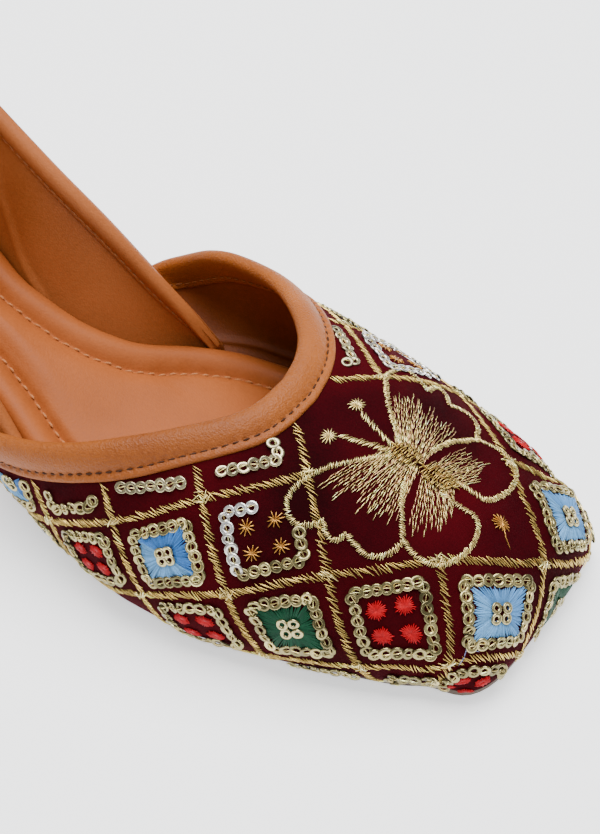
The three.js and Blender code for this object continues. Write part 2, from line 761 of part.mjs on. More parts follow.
function topPieceGeometry() {
  const outline = heelOutline(heelTopLength, heelTopWidth);
  const shape = new THREE.Shape(outline);
  const geometry = new THREE.ExtrudeGeometry(shape, { depth: topPieceThickness, bevelEnabled: false });
  geometry.translate(-heelTopLength / 2 + heelTopWidth / 2, 0, 0);
  return geometry;
}

const leather = new THREE.MeshStandardMaterial({ color: 0xb46a30, roughness: 0.5, metalness: 0 });
const velvet = new THREE.MeshStandardMaterial({ color: 0x4a0416, roughness: 0.9, metalness: 0 });
const rubber = new THREE.MeshStandardMaterial({ color: 0x3a2a20, roughness: 0.8, metalness: 0 });

const shoe = new THREE.Group();
function place(name, geometry, material) {
  const mesh = new THREE.Mesh(geometry, material);
  mesh.name = name;
  shoe.add(mesh);
}

place('outsole', outsoleGeometry(), rubber);
place('heel', heelBlockGeometry(), leather);
place('heel_top_piece', topPieceGeometry(), rubber);
place('insole', insoleGeometry(), leather);
place('upper', toGeometry(toSolid(vampGeometry()).add(toSolid(quarterGeometry()))), velvet);
place('vamp_binding', vampBindingGeometry(), leather);
place('quarter_binding', quarterBindingGeometry(), leather);

export default shoe;
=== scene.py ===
import json
import math

import bmesh
import bpy
import numpy as np
from mathutils import Matrix, Vector

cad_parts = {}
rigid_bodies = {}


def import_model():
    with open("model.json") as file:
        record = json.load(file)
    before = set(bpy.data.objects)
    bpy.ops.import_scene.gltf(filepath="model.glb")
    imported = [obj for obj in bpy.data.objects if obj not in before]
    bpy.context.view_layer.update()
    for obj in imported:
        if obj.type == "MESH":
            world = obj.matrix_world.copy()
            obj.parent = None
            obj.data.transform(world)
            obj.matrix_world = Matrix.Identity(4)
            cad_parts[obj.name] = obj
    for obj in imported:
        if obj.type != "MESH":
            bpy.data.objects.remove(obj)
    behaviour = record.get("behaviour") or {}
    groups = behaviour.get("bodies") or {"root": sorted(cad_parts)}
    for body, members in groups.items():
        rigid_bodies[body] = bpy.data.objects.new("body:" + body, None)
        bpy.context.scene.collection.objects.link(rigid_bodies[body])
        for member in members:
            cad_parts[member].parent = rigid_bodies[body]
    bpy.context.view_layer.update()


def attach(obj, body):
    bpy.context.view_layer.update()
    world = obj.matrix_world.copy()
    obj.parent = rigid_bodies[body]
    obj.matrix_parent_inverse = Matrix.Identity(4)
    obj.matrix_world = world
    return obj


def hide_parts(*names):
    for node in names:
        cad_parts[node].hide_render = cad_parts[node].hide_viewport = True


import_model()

# Sizes in millimetres. +X to the toe, +Y to the inner side, +Z up, origin under the heel.
shoe = dict(length=239, ball=94, heel=45, instep=46, toeDepth=14.6, toeSpring=2.5, toeSwing=2.8,
            sole=2.8, wall=1.8, quarterHeight=57, bandWidth=8.4, gap=0.3, lap=0.6,
            springStart=.88, swingStart=.75)
halfBall = shoe['ball'] / 2
heelBack = -25.0
roundShare = 0.113
toeShare = 1 - shoe['toeDepth'] / shoe['length']
sideSign = dict(near=-1.0, far=1.0)


def table(names, *rows):
    return {name: np.array([row[i] for row in rows], float) for i, name in enumerate(names.split())}


shank = table('share rise', (0, 1.05), (.1, 1), (.21, .83), (.32, .575), (.42, .33), (.52, .11),
              (.6, .015), (.64, 0), (1, 0))
footLine = table('share near far', (.113, .575, .565), (.172, .555, .53), (.234, .51, .462),
                 (.293, .468, .4), (.347, .457, .33), (.4, .52, .345), (.456, .63, .44),
                 (.515, .73, .7), (.573, .81, .86), (.632, .882, .915), (.682, .91, .925),
                 (.736, .895, .905), (.8, .82, .85), (.874, .72, .755), (.908, .67, .7),
                 (.937, .602, .672))
vampRows = table('share near far rise nearCrown farCrown',
                 (.34, .56, .5, .2, .9, 1.2), (.37, .62, .58, .22, .95, 1.2),
                 (.43, .79, .83, .25, 1.05, 1.27), (.49, .87, .915, .25, 1.12, 1.29),
                 (.573, .96, .98, .23, 1.14, 1.2), (.632, 1, 1.01, .21, 1.08, 1.09),
                 (.699, 1, .98, .2, 1.01, 1.01), (.736, .96, .97, .19, .95, .95),
                 (.8, .9, .915, .18, .88, .88), (.874, .79, .85, .17, .705, .705),
                 (.908, .725, .795, .17, .64, .64), (.937, .65, .71, .13, .525, .525))
toeTurns = table('turn reach square', (0, 0, 2.1), (.15, .33, 2.3), (.33, .52, 2.2),
                 (.5, .72, 2.6), (.75, .9, 3.3), (1, 1, 4))
topline = table('share near far', (.35, 0, 0), (.37, .09, .03), (.395, .18, .11),
                (.422, .26, .235), (.456, .33, .32), (.49, .39, .375), (.53, .46, .43),
                (.573, .54, .485), (.615, .63, .57), (.645, .7, .66), (.67, .765, .745),
                (.688, .83, .83), (.698, .905, .915), (.702, 1, 1))
quarterTop = table('share near far nearRise farRise', (.113, .56, .57, .9, .92),
                   (.2, .56, .565, .82, .87), (.293, .56, .56, .62, .745),
                   (.35, .57, .565, .46, .655), (.41, .6, .59, .28, .55),
                   (.46, .66, .625, .14, .42), (.5, .71, .67, .1, .285), (.535, .75, .71, .09, .13))
quarterFront = dict(near=.455, far=.535)


def curve(rows, column, key='share'):
    x, y = rows[key], rows[column]
    rise = np.diff(y) / np.diff(x)
    slope = np.zeros(len(x))
    slope[0], slope[-1] = rise[0], rise[-1]
    same = rise[:-1] * rise[1:] > 0
    total = np.where(same, rise[:-1] + rise[1:], 1)
    slope[1:-1] = np.where(same, 2 * rise[:-1] * rise[1:] / total, 0)

    def at(v):
        v = np.clip(np.asarray(v, float), x[0], x[-1])
        i = np.clip(np.searchsorted(x, v, side='right') - 1, 0, len(x) - 2)
        w = x[i + 1] - x[i]
        t = (v - x[i]) / w
        a = y[i] * (1 + 2 * t) * (1 - t) ** 2 + slope[i] * w * t * (1 - t) ** 2
        return a + y[i + 1] * t * t * (3 - 2 * t) - slope[i + 1] * w * t * t * (1 - t)
    return at


shankRise = curve(shank, 'rise')
foot = {s: curve(footLine, s) for s in sideSign}
belly = {s: curve(vampRows, s) for s in sideSign}
bellyRise = curve(vampRows, 'rise')
crownCurve = {s: curve(vampRows, s + 'Crown') for s in sideSign}
reachOf, squareOf = curve(toeTurns, 'reach', 'turn'), curve(toeTurns, 'square', 'turn')
vampEdge = {s: curve(topline, s) for s in sideSign}
topOut = {s: curve(quarterTop, s) for s in sideSign}
topRise = {s: curve(quarterTop, s + 'Rise') for s in sideSign}


def xAt(share):
    return heelBack + share * shoe['length']


def shareOf(x):
    return (x - heelBack) / shoe['length']


def underside(share):
    lift = np.clip((share - shoe['springStart']) / (1 - shoe['springStart']), 0, 1)
    return shoe['heel'] * shankRise(share) + shoe['toeSpring'] * lift * lift


def soleTop(share):
    return underside(share) + shoe['sole']


def swing(p):
    ahead = np.clip((shareOf(p[..., 0]) - shoe['swingStart']) / (1 - shoe['swingStart']), 0, 1)
    out = p.copy()
    out[..., 0] += shoe['toeSwing'] * ahead * ahead * p[..., 1] / (halfBall * .6)
    return out


def unit(v):
    return v / np.maximum(np.linalg.norm(v, axis=-1, keepdims=True), 1e-9)


sectionSteps = 160
lowShare = .2
toeRun = 30.0
xToe = xAt(toeShare)


# One half section of the vamp from its ridge down to the sole. A row is its place along the
# ridge: x up to the toe's axis, then the way round the blunt toe.
def halfSection(run, side, inset=0.0):
    turn = np.clip((run - xToe) / toeRun, 0, 1)
    share = shareOf(min(run, xToe))
    angle = turn * math.pi / 2
    upright = math.cos(angle) ** 2
    footY = halfBall * foot[side](share)
    swell = halfBall * (belly[side](share) - foot[side](share)) * upright
    low = shoe['instep'] * bellyRise(share) * upright
    crown = crownCurve[side if share < topline['share'][-1] else 'near'](share)
    reach = shoe['instep'] * crown + (shoe['toeDepth'] - shoe['instep'] * crown) * reachOf(turn)
    power = 2 / squareOf(turn)
    t = np.linspace(1, 0, sectionSteps + 1)
    lower = t < lowShare
    a = np.where(lower, t / lowShare, (t - lowShare) / (1 - lowShare)) * math.pi / 2
    y = np.where(lower, footY + swell * np.sin(a),
                 (footY + swell) * np.maximum(np.cos(a), 0) ** power)
    z = np.where(lower, low * (1 - np.cos(a)), low + (reach - low) * np.sin(a) ** power)
    y[0] = 0
    if inset:
        p = np.stack([y, z], 1)
        d = np.gradient(p, axis=0)
        n = np.stack([d[:, 1], -d[:, 0]], 1)
        n = unit(n)
        blend = np.clip(1 - t / lowShare, 0, 1)[:, None]
        n = n * (1 - blend) + np.array([[-1, 0]]) * blend
        n = unit(n)
        n[0] = (0, -1)
        y, z = np.maximum(y + n[:, 0] * inset, 0), z + n[:, 1] * inset
    x = xAt(share) + z * math.sin(angle)
    floor = soleTop(np.minimum(shareOf(x), 1)) + shoe['gap']
    return swing(np.stack([x, sideSign[side] * y, floor + z * math.cos(angle)], 1))


def arcs(points):
    return np.concatenate([[0], np.cumsum(np.linalg.norm(np.diff(points, axis=0), axis=1))])


def alongPath(points, where, walked=None):
    walked = arcs(points) if walked is None else walked
    return np.stack([np.interp(where, walked, column) for column in points.T], -1)


# The vamp as a lookup: rows along the ridge, each a half section by distance from the ridge
clothRuns = np.concatenate([np.arange(xAt(.35), xToe, .8), np.linspace(xToe, xToe + toeRun, 40)])
clothSteps = 150


def clothTable(inset=0.0):
    grid = {}
    for side in sideSign:
        sections = [halfSection(r, side, inset) for r in clothRuns]
        full = np.array([arcs(s)[-1] for s in sections])
        even = [alongPath(s, np.linspace(0, f, clothSteps + 1)) for s, f in zip(sections, full)]
        grid[side] = (np.array(even), full)
    return grid


# Point on the cloth: run along the ridge, girth away from it, minus to the near side
def onCloth(cloth, run, girth):
    run, girth = np.broadcast_arrays(np.asarray(run, float), np.asarray(girth, float))
    out = np.zeros(run.shape + (3,))
    i = np.clip(np.searchsorted(clothRuns, run, side='right') - 1, 0, len(clothRuns) - 2)
    f = np.clip((run - clothRuns[i]) / (clothRuns[i + 1] - clothRuns[i]), 0, 1)[..., None]
    for side, sign in sideSign.items():
        even, full = cloth[side]
        parts = []
        for row in (i, i + 1):
            k = np.clip(np.abs(girth) / full[row], 0, 1) * clothSteps
            j = np.minimum(k.astype(int), clothSteps - 1)
            w = (k - j)[..., None]
            parts.append(even[row, j] * (1 - w) + even[row, j + 1] * w)
        here = parts[0] * (1 - f) + parts[1] * f
        out = np.where((girth * sign >= 0)[..., None], here, out)
    return out


def clothFrame(cloth, run, girth, step=.6):
    p = onCloth(cloth, run, girth)
    u = onCloth(cloth, run + step, girth) - onCloth(cloth, run - step, girth)
    v = onCloth(cloth, run, girth + step) - onCloth(cloth, run, girth - step)
    return p, unit(np.cross(u, v))


# Meshes
def newObject(name, data):
    obj = bpy.data.objects.new(name, data)
    bpy.context.scene.collection.objects.link(obj)
    return obj


def makePiece(name, points, faces, material, nodes=(), weld=False, closed=False):
    mesh = bpy.data.meshes.new(name)
    mesh.from_pydata((points * .001).tolist(), [], [list(f) for f in faces])
    mesh.materials.append(material)
    bm = bmesh.new()
    bm.from_mesh(mesh)
    if weld:
        bmesh.ops.remove_doubles(bm, verts=bm.verts, dist=2e-6)
        bmesh.ops.dissolve_degenerate(bm, dist=1e-6, edges=bm.edges)
    if closed:
        bmesh.ops.recalc_face_normals(bm, faces=bm.faces)
    bm.to_mesh(mesh)
    bm.free()
    mesh.polygons.foreach_set('use_smooth', [True] * len(mesh.polygons))
    mesh.update()
    obj = newObject(name, mesh)
    ridePiece(obj, nodes)
    return obj


def ridePiece(obj, nodes=()):
    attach(obj, 'root')
    if nodes:
        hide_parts(*nodes)
    print(obj.name, len(obj.data.polygons), 'faces')


def gridFaces(rows, columns, loop=False, flip=False, start=0):
    i, k = np.meshgrid(np.arange(rows - 1), np.arange(columns if loop else columns - 1), indexing='ij')
    right = (k + 1) % columns
    quad = np.stack([i * columns + k, (i + 1) * columns + k, (i + 1) * columns + right,
                     i * columns + right], -1).reshape(-1, 4) + start
    return quad[:, ::-1] if flip else quad


def addAttribute(mesh, name, values, kind='FLOAT_VECTOR'):
    key = 'color' if kind == 'FLOAT_COLOR' else 'vector'
    mesh.attributes.new(name, kind, 'POINT').data.foreach_set(key, np.asarray(values, float).ravel())


# Shaders
# New node: its settings first, then its sockets by name or number, each a value or a wire
def addNode(tree, kind, settings=None, sockets=None):
    node = tree.nodes.new(kind)
    for key, value in (settings or {}).items():
        setattr(node, key, value)
    for key, value in (sockets or {}).items():
        socket = node.inputs[key]
        if isinstance(value, Wire):
            tree.links.new(value.socket, socket)
        else:
            socket.default_value = value
    return node


# A socket that takes part in plain sums
class Wire:
    def __init__(self, tree, socket):
        self.tree = tree
        self.socket = socket

    def sum(self, operation, first, second):
        node = addNode(self.tree, 'ShaderNodeMath', dict(operation=operation), {0: first, 1: second})
        return Wire(self.tree, node.outputs[0])

    def __add__(self, other):
        return self.sum('ADD', self, other)

    def __radd__(self, other):
        return self.sum('ADD', other, self)

    def __sub__(self, other):
        return self.sum('SUBTRACT', self, other)

    def __rsub__(self, other):
        return self.sum('SUBTRACT', other, self)

    def __mul__(self, other):
        return self.sum('MULTIPLY', self, other)

    def __rmul__(self, other):
        return self.sum('MULTIPLY', other, self)

    def clip(self):
        return self.sum('MINIMUM', self.sum('MAXIMUM', self, 0), 1)


def noise(tree, place, scale, detail=2.0, roughness=.5):
    node = addNode(tree, 'ShaderNodeTexNoise', None,
                   dict(Vector=place, Scale=scale, Detail=detail, Roughness=roughness))
    return Wire(tree, node.outputs['Fac'])


def mixColour(tree, share, first, second, blend='MIX'):
    pair = [value if isinstance(value, Wire) else (*value, 1) for value in (first, second)]
    node = addNode(tree, 'ShaderNodeMix', dict(data_type='RGBA', blend_type=blend),
                   {0: share, 6: pair[0], 7: pair[1]})
    return Wire(tree, node.outputs[2])


def bump(tree, height, strength, distance):
    node = addNode(tree, 'ShaderNodeBump', None, dict(Strength=strength, Distance=distance, Height=height))
    return Wire(tree, node.outputs[0])


# A look gives the wires of the shader's own sockets; what is the same everywhere is set on them
def material(name, look, **fixed):
    mat = bpy.data.materials.new(name)
    mat.use_nodes = True
    tree = mat.node_tree
    skin = tree.nodes['Principled BSDF']
    for key, value in fixed.items():
        skin.inputs[key.replace('_', ' ')].default_value = value
    place = Wire(tree, addNode(tree, 'ShaderNodeTexCoord').outputs['Object'])
    for key, wire in look(tree, place).items():
        tree.links.new(wire.socket, skin.inputs[key.replace('_', ' ')])
    return mat


def leatherLook(light, dark, grain):
    def look(tree, place):
        broad, fine = noise(tree, place, 28, 3), noise(tree, place, 1100, 4, .6)
        cell = addNode(tree, 'ShaderNodeTexVoronoi', None, dict(Vector=place, Scale=2100))
        pits = Wire(tree, cell.outputs['Distance'])
        share = ((broad - .5) * 1.6 + (fine - .5) * .7 + .5).clip()
        return dict(Base_Color=mixColour(tree, share, dark, light), Roughness=(fine * .25 + .36).clip(),
                    Normal=bump(tree, pits * .7 + fine * .6, grain, .0002))
    return look


def velvetLook(light, dark):
    def look(tree, place):
        broad, pile = noise(tree, place, 34, 3), noise(tree, place, 1900, 3, .7)
        share = ((broad - .5) * 1.9 + (pile - .5) * .8 + .42).clip()
        return dict(Base_Color=mixColour(tree, share, dark, light), Normal=bump(tree, pile, .6, .0003))
    return look


# Threads and sequins carry their own tint
def threadLook(tree, place):
    tint = Wire(tree, addNode(tree, 'ShaderNodeAttribute', dict(attribute_name='tint')).outputs['Color'])
    strand = (noise(tree, place, 2600) * 1.4 - .2).clip()
    shade = mixColour(tree, strand, (.35, .3, .25), (1, 1, 1))
    return dict(Base_Color=mixColour(tree, .55, tint, shade, 'MULTIPLY'))


def plainLook(light, dark, scale=400):
    def look(tree, place):
        fine = noise(tree, place, scale, 3)
        return dict(Base_Color=mixColour(tree, fine, dark, light), Normal=bump(tree, fine, .3, .0002))
    return look


tan = dict(light=(.37, .105, .014), dark=(.19, .045, .006))
velvet = material('velvet', velvetLook((.058, .0006, .003), (.013, .0001, .0009)), Roughness=.85,
                  Specular_IOR_Level=.04, Sheen_Weight=.12, Sheen_Roughness=.35,
                  Sheen_Tint=(.8, .08, .16, 1))
bindingLeather = material('bindingLeather', leatherLook(**tan, grain=1), Specular_IOR_Level=.24)
quarterLeather = material('quarterLeather', leatherLook((.43, .13, .036), (.27, .072, .015), .3),
                          Specular_IOR_Level=.22)
insoleLeather = material('insoleLeather', leatherLook((.37, .1, .024), (.24, .058, .011), .25),
                         Specular_IOR_Level=.13)
# Lining: the shoe's tan leather with its colours darkened, painted shade of the shoe's inside
liningLeatherPaintedShade = material('liningLeatherPaintedShade', leatherLook((.25, .062, .012), (.15, .034, .006), .35),
                         Specular_IOR_Level=.25)
zari = material('zari', threadLook, Roughness=.24, Metallic=.85, Specular_IOR_Level=.3)
silk = material('silk', threadLook, Roughness=.4, Specular_IOR_Level=.14)
sequinMetal = material('sequinMetal', threadLook, Roughness=.17, Metallic=.85)
seamThread = material('seamThread', threadLook, Roughness=.6, Specular_IOR_Level=.2)
soleRubber = material('soleRubber', plainLook((.12, .08, .055), (.07, .045, .03)), Roughness=.7)
heelRubber = material('heelRubber', plainLook((.05, .035, .028), (.03, .02, .016)), Roughness=.75)


# The vamp's cloth
cloth = clothTable()
inner = clothTable(shoe['wall'])


def fullGirth(run, side, which=None):
    return np.interp(run, clothRuns, (which or cloth)[side][1])


def smoothRows(grid, times):
    for _ in range(times):
        grid[1:-1] = (grid[:-2] + 2 * grid[1:-1] + grid[2:]) / 4
    return grid


# Topline as one path over run and girth, from the near wing's end over the throat to the far one
def topPath():
    t = 1 - (1 - np.linspace(0, 1, 400)) ** 2
    share = topline['share'][0] + (topline['share'][-1] - topline['share'][0]) * t
    run = xAt(share)
    parts = []
    for side, sign in sideSign.items():
        girth = sign * fullGirth(run, side) * (1 - vampEdge[side](share))
        parts.append(np.stack([run, girth], 1))
    path = np.concatenate([parts[0], parts[1][::-1][1:]])
    path = alongPath(path, np.linspace(0, arcs(path)[-1], 520))
    return smoothRows(path, 3)


top = topPath()
tangent = unit(np.gradient(top, axis=0))
across = np.stack([tangent[:, 1], -tangent[:, 0]], 1)
bandEdge = top + across * shoe['bandWidth']


def edgeGirth(run, line):
    out = {}
    for side, sign in sideSign.items():
        part = line[line[:, 1] * sign >= 0]
        order = np.argsort(part[:, 0])
        out[side] = np.interp(run, part[order, 0], np.abs(part[order, 1]))
        out[side] = np.where(run > line[:, 0].max(), 0, out[side])
    return out


def onVelvet(run, girth, margin=.6):
    edge = edgeGirth(run - margin, bandEdge)
    low = np.where(girth < 0, edge['near'], edge['far'])
    high = np.where(girth < 0, fullGirth(run, 'near'), fullGirth(run, 'far'))
    return (np.abs(girth) > low + np.where(low > 0, margin, -1)) & (np.abs(girth) < high - margin) \
        & (run < xToe + toeRun - .5) & (run > top[0, 0] + 6)


clothRows = dict(wing=70, turn=44, vamp=64, toe=34, turnRun=7, crowding=1.7)


# Rows along the ridge, crowded where the line turns over the throat
def wingRows(line, start):
    front, run = line[:, 0].max(), clothRows['turnRun']
    turn = 1 - np.linspace(0, 1, clothRows['turn'], endpoint=False)
    return np.concatenate([np.linspace(start, front - run, clothRows['wing'], endpoint=False),
                           front - run * turn ** clothRows['crowding'],
                           np.linspace(front, xToe, clothRows['vamp'], endpoint=False),
                           np.linspace(xToe, xToe + toeRun, clothRows['toe'])])


liningFold = dict(depth=.7, start=88, end=128, ease=8, place=.925, width=.012)


# Skin of the vamp beyond a line, a sheet on each side of the ridge. Out is -1 for the lining.
def clothPiece(name, line, start, columns, lookup, mat, nodes, out, under, fold=None):
    rows = wingRows(line, start)
    edge = edgeGirth(rows, line)
    points, faces = [], []
    for side, sign in sideSign.items():
        full = fullGirth(rows, side)
        low = np.clip(edge[side] - under, 0, full)
        f = np.linspace(0, 1, columns)
        girth = low[:, None] + (full - low)[:, None] * f
        share = girth / full[:, None]
        mine = share * fullGirth(rows, side, lookup)[:, None]
        grid = onCloth(lookup, rows[:, None] + 0 * mine, mine * sign + sign * 1e-6)
        if fold:
            ease = np.clip(np.minimum(rows - fold['start'], fold['end'] - rows) / fold['ease'], 0, 1)
            ridge = np.exp(-((share - fold['place']) / fold['width']) ** 2)
            grid[..., 1] -= sign * fold['depth'] * ease[:, None] * ridge
        if out > 0:
            turnedIn = onCloth(inner, rows, fullGirth(rows, side, inner) * sign)
            grid = np.concatenate([grid, turnedIn[:, None]], axis=1)
        faces.append(gridFaces(*grid.shape[:2], flip=(sign * out > 0), start=sum(map(len, points))))
        points.append(grid.reshape(-1, 3))
    return makePiece(name, np.concatenate(points), np.concatenate(faces), mat, nodes, weld=True)


clothPiece('vampVelvet', bandEdge, 74, 44, cloth, velvet, ('upper',), 1, 1.5)
clothPiece('vampLining', top, top[0, 0] + .5, 90, inner, liningLeatherPaintedShade, (), -1, -.4,
           liningFold)


# Tube of loops with a cap on both ends
def cappedPiece(name, loops, mat, nodes):
    n, m = loops.shape[:2]
    faces = [list(f) for f in gridFaces(n, m, loop=True)]
    faces += [list(range(m)), [(n - 1) * m + k for k in reversed(range(m))]]
    return makePiece(name, loops.reshape(-1, 3), faces, mat, nodes, closed=True)


# How full a strip is along its walk, thinner near both ends
def easeEnds(walk, run):
    return np.clip(np.minimum(walk, walk[-1] - walk) / run, 0, 1) ** .6


# Rise and fall of the leather between its stitches
def ripple(walk, pitch):
    return np.cos(2 * math.pi * walk / pitch)


# Rounded strip swept beside a path on a surface: rows of (distance over the edge, rise off it)
def sweepStrip(name, at, way, rows, mat, nodes):
    loops = np.stack([at(s) + way(s) * h[..., None] for s, h in rows], 1)
    return cappedPiece(name, loops, mat, nodes)


band = dict(width=shoe['bandWidth'], stitchLine=.77, pitch=2.5, stitch=(1.75, .5, .34), pucker=.16,
            endRun=14,
            section=((1, -1.2), (1, .25), (.975, .62), (.93, .8), (.87, .78), (.82, .58), (.77, .4),
                     (.72, .66), (.64, 1.1), (.54, 1.45), (.42, 1.68), (.3, 1.75), (.18, 1.62),
                     (.08, 1.25), (0, .62), (-.045, -.2), (-.05, -1), (-.01, -1.8), (.06, -2.35),
                     (.16, -2.65), (.32, -2.8), (.52, -2.75), (.68, -2.55), (.76, -2.35), (.8, -2.4),
                     (.9, -2.5), (.98, -2.3), (1.01, -1.8)))
pathWalk = arcs(onCloth(cloth, top[:, 0], top[:, 1]))


def bandPlace(s):
    return top + across * s


def bandAt(s):
    p = bandPlace(max(s, 0) * band['width'])
    here = onCloth(cloth, p[:, 0], p[:, 1])
    if s < 0:
        ahead = onCloth(cloth, *bandPlace(.5).T)
        here = here + unit(here - ahead) * (-s * band['width'])
    return here


def bandWay(s):
    p = bandPlace(max(s, 0) * band['width'])
    return clothFrame(cloth, p[:, 0], p[:, 1])[1]


endEase = easeEnds(pathWalk, band['endRun'])


def bandRise(s, h):
    middle = -shoe['wall'] / 2
    rise = middle + (h - middle) * (.35 + .65 * endEase)
    if abs(s - band['stitchLine']) < .07 and h > 0:
        rise = rise + band['pucker'] * ripple(pathWalk, band['pitch'])
    return rise


sweepStrip('vampBinding', bandAt, bandWay, [(s, bandRise(s, h)) for s, h in band['section']],
           bindingLeather, ('vamp_binding',))


# Quarter
quarter = dict(rows=34, sideShare=.36, lean=.88, belly=.05, fullBelly=25)


# One upright row, t from the near front end round the heel to the far front end
def quarterRun(t, inset):
    sideShare = quarter['sideShare']
    h = np.linspace(0, 1, quarter['rows'])
    footInset = shoe['wall'] - shoe['lap'] + inset
    ease = h * h * (1.6 - .6 * h)
    if t < sideShare or t > 1 - sideShare:
        side = 'near' if t < .5 else 'far'
        f = t / sideShare if side == 'near' else (1 - t) / sideShare
        share = quarterFront[side] + (roundShare - quarterFront[side]) * f
        out = sideSign[side]
        base = (xAt(share), out * (halfBall * foot[side](share) - footInset))
        crest = (xAt(share), out * (halfBall * topOut[side](share) - inset))
        baseZ = soleTop(share) + shoe['gap']
        height = shoe['quarterHeight'] * topRise[side](share)
        bulge, way = halfBall * quarter['belly'], (0, out)
    else:
        angle = math.pi * (t - sideShare) / (1 - 2 * sideShare)
        side = 'near' if angle < math.pi / 2 else 'far'
        back = roundShare * shoe['length']
        s, c = math.sin(angle), -math.cos(angle)
        width = halfBall * foot[side](roundShare) - footInset
        upper = halfBall * topOut[side](roundShare) - inset
        base = (xAt(roundShare) - (back - footInset) * s, c * width)
        crest = (xAt(roundShare) - (back * quarter['lean'] - inset) * s, c * upper)
        baseZ = soleTop(max(shareOf(base[0]), 0)) + shoe['gap']
        blend = (1 + c) / 2
        sideRise = topRise['near'](roundShare) * (1 - blend) + topRise['far'](roundShare) * blend
        sideTop = shoe['quarterHeight'] * sideRise + soleTop(roundShare) + shoe['gap']
        backTop = shoe['quarterHeight'] + soleTop(0) + shoe['gap']
        height = sideTop + (backTop - sideTop) * s - baseZ
        bulge, way = halfBall * quarter['belly'] * (1 + s), (-s, c)
    bow = bulge * np.sin(math.pi * h ** .75) * min(height / quarter['fullBelly'], 1)
    return np.stack([base[0] + (crest[0] - base[0]) * ease + way[0] * bow,
                     base[1] + (crest[1] - base[1]) * ease + way[1] * bow, baseZ + height * h], 1)


quarterSteps = 300
quarterTs = np.linspace(0, 1, quarterSteps)
quarterOuter = np.array([quarterRun(t, 0) for t in quarterTs])
quarterInner = np.array([quarterRun(t, shoe['wall']) for t in quarterTs])


smoothRows(quarterOuter, 9)
smoothRows(quarterInner, 9)


counter = dict(heights=(.05, .09, .21, .48, 1), ends=(.85, .843, .818, .791, .775), depth=.7, edge=.0025,
               ridge=.45, ridgeWidth=.005)


# Lining stands off over the heel counter, which ends in a soft step on both sides
def counterStep(grid):
    h = np.linspace(0, 1, grid.shape[1])
    line = np.interp(h, counter['heights'], counter['ends'])
    away = np.abs(quarterTs - .5)[:, None] - (line - .5)[None]
    step = counter['depth'] / (1 + np.exp(away / counter['edge']))
    step += counter['ridge'] * np.exp(-(away / counter['ridgeWidth']) ** 2)
    n = unit(np.cross(np.gradient(grid, axis=1), np.gradient(grid, axis=0)))
    return grid - n * step[..., None] * np.clip(h * 12, 0, 1)[None, :, None]


quarterInner = counterStep(quarterInner)
# Outside and lining are one skin, closed along the foot and at both front ends
quarterSkin = np.concatenate([quarterOuter[:, ::-1], quarterInner], axis=1)
ends = [np.concatenate([row[None, ::-1], row[None]], axis=1) for row in (quarterInner[0], quarterInner[-1])]
quarterSkin = np.concatenate([ends[0], quarterSkin, ends[1]])
makePiece('quarterWall', quarterSkin.reshape(-1, 3), gridFaces(*quarterSkin.shape[:2], flip=True),
          quarterLeather, weld=True)

collar = dict(stitchDrop=6.2, pitch=2.5, stitch=(1.8, .5, .34), pucker=.14, endRun=12,
              section=((7.3, -.5), (7.1, .1), (6.6, .35), (6.2, .3), (5.7, .55), (4.8, 1.15), (3.6, 1.5),
                       (2.4, 1.45), (1.2, 1.05), (.4, .45), (-.1, -.3), (-.25, -1.1), (-.05, -1.9),
                       (.6, -2.75), (1.7, -3.4), (3, -3.65), (4.3, -3.4), (5.3, -2.8), (5.9, -2.25),
                       (6.2, -2.05), (6.6, -2.2), (7.1, -2.05), (7.3, -1.4)))
runArcs = [arcs(r) for r in quarterOuter]


def collarAt(s):
    rows = [alongPath(r, w[-1] - max(s, 0) * min(1, w[-1] / 9)) for r, w in zip(quarterOuter, runArcs)]
    return np.array(rows) + np.array([0, 0, 1.0]) * max(-s, 0)


def collarWay(s):
    here = collarAt(max(s, 0) + 1.0)
    down = collarAt(max(s, 0) + 2.0) - collarAt(max(s, 0))
    return unit(np.cross(np.gradient(here, axis=0), down))


collarWalk = arcs(collarAt(0))
collarEase = easeEnds(collarWalk, collar['endRun'])


def collarRise(s, h):
    middle = -shoe['wall'] / 2
    kept = .5 + .5 * collarEase if h > middle else .8 + .2 * collarEase
    rise = middle + (h - middle) * kept
    if abs(s - collar['stitchDrop']) < .45:
        wave = ripple(collarWalk, collar['pitch'])
        rise = rise + math.copysign(collar['pucker'], h - middle) * wave
    return rise


sweepStrip('quarterBinding', collarAt, collarWay, [(s, collarRise(s, h)) for s, h in collar['section']],
           quarterLeather, ('quarter_binding',))


# Insole and outsole, built in rings from the foot outline
def outlineHalf(side, share, inset):
    if share < roundShare:
        width = halfBall * foot[side](roundShare) - inset
        t = min((roundShare - share) * shoe['length'] / (roundShare * shoe['length'] - inset), 1)
        return width * math.sqrt(max(1 - t * t, 0))
    if share > toeShare:
        width = halfBall * foot[side](toeShare) - inset
        t = min((share - toeShare) * shoe['length'] / (shoe['toeDepth'] - inset), 1)
        return width * max(1 - t ** 4, 0) ** .25
    return halfBall * foot[side](share) - inset


def outline(inset, count=260):
    low, high = inset / shoe['length'], 1 - inset / shoe['length']
    t = (1 - np.cos(np.linspace(0, math.pi, 400))) / 2
    t = t * .6 + .4 * np.linspace(0, 1, 400)
    shares = low + (high - low) * t
    near = [(xAt(s), -outlineHalf('near', s, inset)) for s in shares]
    far = [(xAt(s), outlineHalf('far', s, inset)) for s in shares[::-1]]
    path = np.array(near + far[1:-1] + near[:1])
    path = alongPath(path, np.linspace(0, arcs(path)[-1], count, endpoint=False))
    return (np.roll(path, 1, 0) + 2 * path + np.roll(path, -1, 0)) / 4


def inwardOf(path):
    d = unit(np.roll(path, -1, 0) - np.roll(path, 1, 0))
    return np.stack([-d[:, 1], d[:, 0]], 1)


